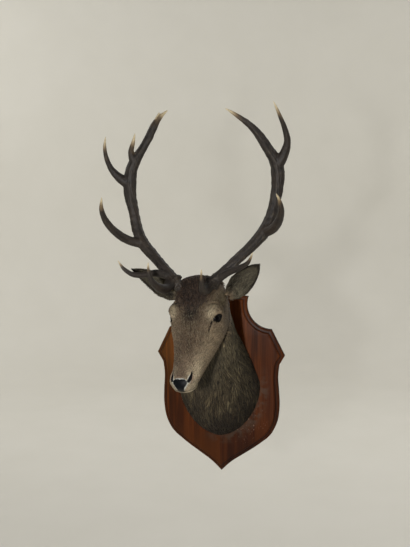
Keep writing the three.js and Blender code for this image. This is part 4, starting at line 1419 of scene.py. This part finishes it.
def build_antler(side):
    """One antler: its branches joined as one skin, then ridged and coloured."""
    branches, parts, samples = ANTLERS[side], [], []
    for name, points in branches.items():
        line = smooth_line(points)
        parts.append(tube(line[:, :3], line[:, 3], BRANCH_SIDES))
        _, one, two = frames_along(line[:, :3])
        run = run_along(line)
        on_beam = np.full(len(line), name == "beam")
        samples.append(np.column_stack([line, run, run[-1] - run, one, two, on_beam]))
    foot = np.array(branches["beam"][0][:3], float)
    up = unit(np.array(branches["beam"][1][:3], float) - foot)
    parts += webs(branches) + antler_foot(foot, up)
    points, faces = remeshed("antler", *merged(parts), BONE_VOXEL)
    points = relax(points, faces, 4, 0.5)
    samples = nearest_sample(points, np.concatenate(samples))
    height = bone_relief(points, samples, foot)
    points = points + point_normals(points, faces) * height[:, None]
    left = samples[:, 5]
    obj = make_mesh("antler_bone_" + side, points, faces)
    add_colour(obj, "Bone", bone_colour(points, height, left))
    add_value(obj, "Worn", smoothstep(40, 4, left))
    return obj


def bone_material():
    bone = Nodes("antler_bone")
    at, base = bone.place(), bone.attribute("Bone")
    mottle = bone.noise(at, 160, 4.0, 0.6)
    streak = bone.noise(bone.stretched(at, (340, 340, 60)), 1.0, 3.0)
    tone = bone.mix(bone.ramp(mottle, 0.3, 0.7, 0, 0.5), base, bone.mix(0.5, base, rgba(14, 11, 9)))
    tone = bone.mix(bone.ramp(streak, 0.5, 0.75, 0, 0.3), tone, rgba(88, 79, 63))
    rough = bone.ramp(bone.attribute("Worn", "Fac"), 0, 1, 0.6, 0.36, False)
    bone.set(Base_Color=tone, Roughness=rough, Specular_IOR_Level=0.35)
    bone.bump(bone.math("ADD", mottle, streak), 0.5, 0.0008)
    return bone.material


bone = bone_material()
for side in ("left", "right"):
    nodes = ["antler_%s_lower_beam" % side, "antler_%s_upper_beam" % side]
    nodes += ["antler_%s_%s_tine" % (side, name) for name in ANTLERS[side] if name != "beam"]
    piece(build_antler(side), bone, "antler_bone", *nodes)


# ---------------------------------------------------------------- coat
ROOT_DEPTH = 1.6  # how far a tuft starts under the skin
WALL_GAP = 0.3  # the least distance between a tuft and the board's face
SPREAD_CELL = 14


def scatter(points, faces, share, count, seed):
    """Roots spread over the faces by area and share: their places and normals."""
    draws = np.random.default_rng(seed)
    a, b, c = (points[faces[:, k]] for k in range(3))
    cross = np.cross(b - a, c - a)
    area = 0.5 * np.linalg.norm(cross, axis=1)
    middle = (a + b + c) / 3
    # a curve through all the cells of a grid: even steps along it are spread evenly over the skin
    cell = np.floor((middle - middle.min(0)) / SPREAD_CELL).astype(np.int64)
    key = sum(((cell[:, k] >> bit) & 1) << (3 * bit + k) for bit in range(7) for k in range(3))
    order = np.argsort(key, kind="stable")
    weight = np.cumsum((area * share)[order])
    at = (np.arange(count) + draws.random(count)) / count * weight[-1]
    face = order[np.minimum(np.searchsorted(weight, at), len(order) - 1)]
    u, v = draws.random(count), draws.random(count)
    over = u + v > 1
    u, v = np.where(over, 1 - u, u)[:, None], np.where(over, 1 - v, v)[:, None]
    return a[face] * (1 - u - v) + b[face] * u + c[face] * v, unit(cross[face])


def across_surface(direction, normals):
    """The part of a direction that lies along the surface."""
    return unit(direction - normals * (direction * normals).sum(1, keepdims=True))


def grow(roots, normals, direction, length, lift, steps, field=None, drop=None, wall=None):
    """Paths of tufts along the skin, which rise to lift above it and turn towards drop.

    With a field they follow its surface; otherwise each keeps to the plane at its root.
    """
    def height(t):
        return lift * np.sin(min(1.0, 1.15 * t) * np.pi / 2)

    path, at, n, d = [roots - normals * ROOT_DEPTH], roots, normals, across_surface(direction, normals)
    for k in range(1, steps + 1):
        t = k / steps
        if drop is not None:
            d = unit(d + drop * (0.5 / steps))
        at = at + d * (length / steps)[:, None]
        if field is None:
            at = at + n * (height(t) - height(t - 1 / steps))[:, None]
        else:
            g = gradient(field, at)
            size = np.maximum((g ** 2).sum(1), 0.2)
            move = (height(t) - field(at)) / size
            at = at + g * np.clip(move, -5, 5)[:, None]
            n = unit(g)
        if wall is not None:
            at[:, 1] = np.minimum(at[:, 1], wall - WALL_GAP - 0.5 * t * lift)
        d = across_surface(at - path[-1] if k > 1 else d, n)
        path.append(at.copy())
    return np.array(path)


# for tufts of so many steps: each ring's share of the width, and the brightness from root to tip, darker at
# the root as painted shade deep in the coat
TUFT_WIDTHS = {2: (0.75, 1.0), 3: (0.7, 1.0, 0.72), 4: (0.65, 1.0, 0.9, 0.55)}
TUFT_ROOT_SHADE = {2: (0.68, 0.98, 1.18), 3: (0.6, 0.86, 1.06, 1.22), 4: (0.55, 0.8, 0.98, 1.1, 1.22)}


def tufts(name, path, normals, width, colours, places, material, slot, seed):
    """One mesh of closed three-sided slivers, each tapering to a point at its path's end."""
    draws = np.random.default_rng(seed)
    steps, count = path.shape[0] - 1, path.shape[1]
    twist = draws.uniform(-0.5, 0.5, count)[:, None]
    corners = []
    for k in range(steps):
        ahead = unit(path[k + 1] - path[max(k - 1, 0)])
        side = unit(np.cross(ahead, normals))
        up = np.cross(side, ahead)
        side, up = side + up * twist, up - side * twist
        w = (width * TUFT_WIDTHS[steps][k] / 2)[:, None]
        corners += [path[k] - side * w, path[k] + side * w, path[k] + up * w * 0.8]
    points = np.stack(corners + [path[-1]], 1)
    # painted shade: each tuft darker at its root, paler towards its tip
    root_shade = np.repeat(TUFT_ROOT_SHADE[steps], [3] * steps + [1])
    tones = np.clip(colours[:, None] * root_shade[:, None], 0, 1)
    pattern = [(0, 1, 2)]
    for k in range(steps - 1):
        low, high = 3 * k, 3 * k + 3
        for a, b in ((0, 1), (1, 2), (2, 0)):
            pattern += [(low + a, high + a, low + b), (low + b, high + a, high + b)]
    low, tip = 3 * (steps - 1), 3 * steps
    pattern += [(low + a, tip, low + b) for a, b in ((0, 1), (1, 2), (2, 0))]
    faces = (np.arange(count)[:, None, None] * (tip + 1) + np.array(pattern)).reshape(-1, 3)
    obj = make_mesh(name, points.reshape(-1, 3), faces)
    add_colour(obj, "Coat", tones.reshape(-1, 3))
    # each tuft has a small patch of its own at its root's place on the unwrapped skin
    spot = np.array([(0.5 * a, k / steps) for k in range(steps) for a in range(3)] + [(0.5, 1.0)])
    uv = np.clip(places, 0.002, 0.994)[:, None] + 0.003 * spot
    layer = obj.data.uv_layers.new(name="OFBake")
    layer.data.foreach_set("uv", uv.reshape(-1, 2)[faces.ravel()].astype(np.float32).ravel())
    piece(obj, material, slot)


def coat_material(name, roughness):
    coat = Nodes(name)
    base, speckle = coat.attribute("Coat"), coat.noise(coat.place(), 420, 2.0)
    dark = coat.mix(0.5, base, rgba(28, 20, 14))
    rough = coat.ramp(speckle, 0.2, 0.8, roughness - 0.08, roughness + 0.08)
    coat.set(Base_Color=coat.mix(coat.ramp(speckle, 0.3, 0.75, 0.0, 0.45), base, dark), Roughness=rough,
             Specular_IOR_Level=0.3)
    coat.bump(speckle, 0.3, 0.0004)
    return coat.material


# the colours of darker and paler hairs (or how much paler), their shares, and the spread of brightness
NECK_LOOK = dict(dark=(20, 15, 10), pale=2.5, dark_share=0.3, pale_share=0.22, spread=0.18)
FACE_LOOK = dict(dark=(62, 50, 40), pale=(150, 138, 112), dark_share=0.18, pale_share=0.15, spread=0.13)
TOP_LOOK = dict(dark=(22, 17, 14), pale=(92, 72, 56), dark_share=0.3, pale_share=0.2, spread=0.2)
EAR_LOOK = dict(dark=(34, 29, 24), pale=(104, 96, 78), dark_share=0.28, pale_share=0.26, spread=0.2)
INNER_LOOK = dict(EAR_LOOK, pale=(150, 142, 120))


def strands(colour, draws, dark, pale, dark_share, pale_share, spread):
    """The colour of each tuft: that of the skin at its root, with some darker and paler hairs."""
    pick = draws.random(len(colour))
    c = paint(colour, np.where(pick < dark_share, 0.75, 0), dark)
    paler = colour * pale if np.isscalar(pale) else pale
    c = paint(c, np.where(pick > 1 - pale_share, 0.6, 0), paler)
    return c * (1 + spread * draws.normal(size=(len(c), 1))).clip(0.55, 1.5)


def lie(p, n):
    """The way the hair lies at points of the skin."""
    q = to_head(p)
    m = mirrored(q)
    side = np.sign(q[:, 0])
    out = side * smoothstep(6, 50, m[:, 0])
    cheek = smoothstep(-30, 25, q[:, 1])
    spread = 0.35 * out * smoothstep(-60, 40, q[:, 2]) + 0.12 * out
    head = np.column_stack([spread, 0.45 * cheek, np.ones(len(p))]) @ HEAD_MATRIX.T
    neck = np.tile([0.0, 0.55, -0.84], (len(p), 1))
    neck[:, 0] = 0.125 * np.sin(p[:, 2] / 37 + 1) + 0.16 * grain3(p, 80, 31)
    share = neck_share(p)[:, None]
    # behind the jaw the hair of the cheeks turns down into that of the neck
    turning = share * (1 - share) * np.array([0, 3.2, 0])
    d = across_surface(head * (1 - share) + neck * share + turning, n)
    wisp = 0.16 * grain3(p, 46, 32) + 0.10 * grain3(p, 21, 33)
    return unit(d + np.cross(n, d) * wisp[:, None])


def unwrap(p):
    """Places on an unwrapping of the skin: round it, and from the nose to the board."""
    q = to_head(p)
    share = neck_share(p)
    along = (q[:, 2] + 235) / 380 * 0.5
    turn = np.arctan2(q[:, 0], -q[:, 1] + 10) / (2 * np.pi) + 0.5
    neck_along = 0.5 + (p[:, 1] + 320) / 310 * 0.5
    neck_turn = np.arctan2(p[:, 0], p[:, 2] + 60) / (2 * np.pi) + 0.5
    return np.column_stack([turn * (1 - share) + neck_turn * share, along * (1 - share) + neck_along * share])


def on_ears(p):
    """Which points of the skin belong to the ears."""
    m = mirrored(to_head(p))
    return (smooth_body(p) > 2.5) & (m[:, 2] > 48) & (m[:, 0] > 60)


def grow_coat():
    """The hair of neck, face and forehead."""
    draws = np.random.default_rng(71)
    thin = 1.0
    coat = coat_material("coat_hair", 0.66)

    def lay(name, share, look, count, steps, seed, width, rough, length, lift, slot="face_coat", parts=1,
            field=skin_field, drop=None, wall=None):
        roots, normals = scatter(skin_points, skin_faces, share, int(count * thin), seed)
        d = lie(roots, normals)
        turn = rough * draws.normal(size=len(roots))
        d = unit(d + np.cross(normals, d) * turn[:, None])
        size, high = length(roots), lift(roots)
        path = grow(roots, normals, d, size, high, steps, field, drop, wall)
        c = strands(coat_colour(roots)[0], draws, **look)
        wide = width * draws.uniform(0.75, 1.3, len(roots)) * 1
        for k in range(parts):
            pick = np.arange(len(roots)) % parts == k
            tufts("%s_%d" % (name, k + 1) if parts > 1 else name, path[:, pick], normals[pick],
                  wide[pick], c[pick], unwrap(roots[pick]), coat, slot, seed + k)

    def vary(values, low, high):
        return values * draws.uniform(low, high, len(values))

    def face_length(p):
        m = mirrored(to_head(p))
        far = smoothstep(-200, -60, m[:, 2]) * smoothstep(16, 40, np.linalg.norm(m - EYE_AT, axis=1))
        return vary(5.5 + 6.5 * far, 0.7, 1.3)

    middle = skin_points[skin_faces].mean(1)
    q = to_head(middle)
    m = mirrored(q)
    neck = neck_share(middle)
    open_skin = (~on_ears(middle) & (middle[:, 1] <= -BOARD_FACE_GAP)).astype(float)
    lay("coat_neck", open_skin * (neck > 0.02) * (0.35 + 0.65 * neck), NECK_LOOK, count=38000,
        steps=4, seed=101, width=2.7, rough=0.13, slot="neck_coat", parts=5,
        length=lambda p: vary(36 + 24 * smoothstep(20, -140, p[:, 2]), 0.7, 1.25),
        lift=lambda p: vary(coat_depth(p, to_head(p)), 0.35, 1.0),
        field=smooth_body, drop=np.array([0, 0.1, -0.5]), wall=-BOARD_FACE)
    # the face's hair leaves the lids, tear ducts, brow folds, nose and nostrils bare
    face = open_skin * (1 - neck) * np.where(near_eye(m), smoothstep(1.5, 5, lid_gap(m)), 1)
    face *= smoothstep(2.6, 4.6, line_gap(m, DUCT_LINE)[0])
    face *= smoothstep(2.2, 5.6, line_gap(m, FOLD_LINE)[0])
    off_nose = smoothstep(2.5, 6.5, nose_gap(m)) * np.clip(line_gap(m, NOSTRIL)[0] / 5 - 1, 0, 1)
    face *= np.where(m[:, 2] > -185, 1, off_nose)
    lay("coat_face", face * (0.5 + 0.8 * smoothstep(-150, -205, q[:, 2])), FACE_LOOK, count=38000,
        steps=2, seed=151, width=1.25, rough=0.24, parts=2, length=face_length,
        lift=lambda p: vary(0.4 + 1.7 * smoothstep(-215, -100, to_head(p)[:, 2]), 0.25, 1.0))
    # the tufts of the forehead keep within its dark patch, and off the brow folds
    up, out = forehead_place(q)
    top = smoothstep(-16, 8, up) * smoothstep(54, 40, out) * smoothstep(25, -10, q[:, 1])
    top *= smoothstep(1.0, 4.0, line_gap(m, FOLD_LINE)[0])
    lay("coat_forehead", open_skin * top, TOP_LOOK, count=7600,
        steps=3, seed=171, width=1.9, rough=0.6, length=lambda p: vary(np.full(len(p), 19.0), 0.55, 1.4),
        lift=lambda p: vary(5 + 9 * smoothstep(30, 80, to_head(p)[:, 2]), 0.15, 1.0))


def grow_ear_coat():
    """The ears' short hair, and the longer hair inside them."""
    draws = np.random.default_rng(81)
    thin = 1.0
    coat = coat_material("ear_hair", 0.7)
    middle = skin_points[skin_faces].mean(1)
    t, across, depth = ear_place(to_head(middle))
    ear = on_ears(middle) & (middle[:, 1] < -BOARD_FACE_GAP)

    def lay(name, share, look, count, steps, seed, width, length, lift, fan):
        roots, normals = scatter(skin_points, skin_faces, ear * share, int(count * thin), seed)
        r = to_head(roots)
        place, wide, deep = ear_place(r)
        d = np.zeros((len(roots), 3))
        for side, sign in (("left", 1), ("right", -1)):
            _, _, along, opened, sideways = ear_axes(side)
            mine = np.sign(r[:, 0]) == sign
            spin = ear_row(np.clip(place[mine], 0, 1))[0] * wide[mine]
            round_ear = sideways * np.cos(spin)[:, None] + opened * np.sin(spin)[:, None]
            d[mine] = along + round_ear * (fan * wide[mine])[:, None]
        d = across_surface(d @ HEAD_MATRIX.T + 0.22 * draws.normal(size=d.shape), normals)
        size = length * draws.uniform(0.6, 1.3, len(roots)) * (1 - 0.45 * smoothstep(0.6, 1.0, place))
        size *= 1 - 0.4 * smoothstep(0.8, 0.95, np.abs(wide))
        high = lift * draws.uniform(0.2, 1.0, len(roots))
        path = grow(roots, normals, d, size, high, steps)
        c = strands(coat_colour(roots)[0], draws, **look)
        # the inner side has the lower half of the map, and each ear a half of its width
        up = (0.05 + 0.9 * np.clip(place, 0, 1)) * 0.5 + np.where(deep > 0.5, 0, 0.5)
        places = np.column_stack([0.25 + 0.22 * np.clip(wide, -1, 1) + 0.5 * (r[:, 0] > 0), up])
        wide = width * draws.uniform(0.75, 1.3, len(roots))
        tufts(name, path, normals, wide, c, places, coat, "ear_coat", seed)

    lay("ear_hair", 1.0, EAR_LOOK, count=13000, steps=2, seed=201, width=1.15, length=9.5, lift=0.9, fan=0.25)
    inner = smoothstep(0.5, 0.75, depth) * smoothstep(0.55, 0.3, t) * smoothstep(0.02, 0.12, t)
    inner *= (0.15 + smoothstep(0.1, 0.6, across)) * smoothstep(1.0, 0.8, np.abs(across))
    lay("ear_long_hair", inner, INNER_LOOK, count=1100, steps=3, seed=211, width=1.0, length=17.0,
        lift=4.0, fan=-0.55)


grow_coat()
grow_ear_coat()
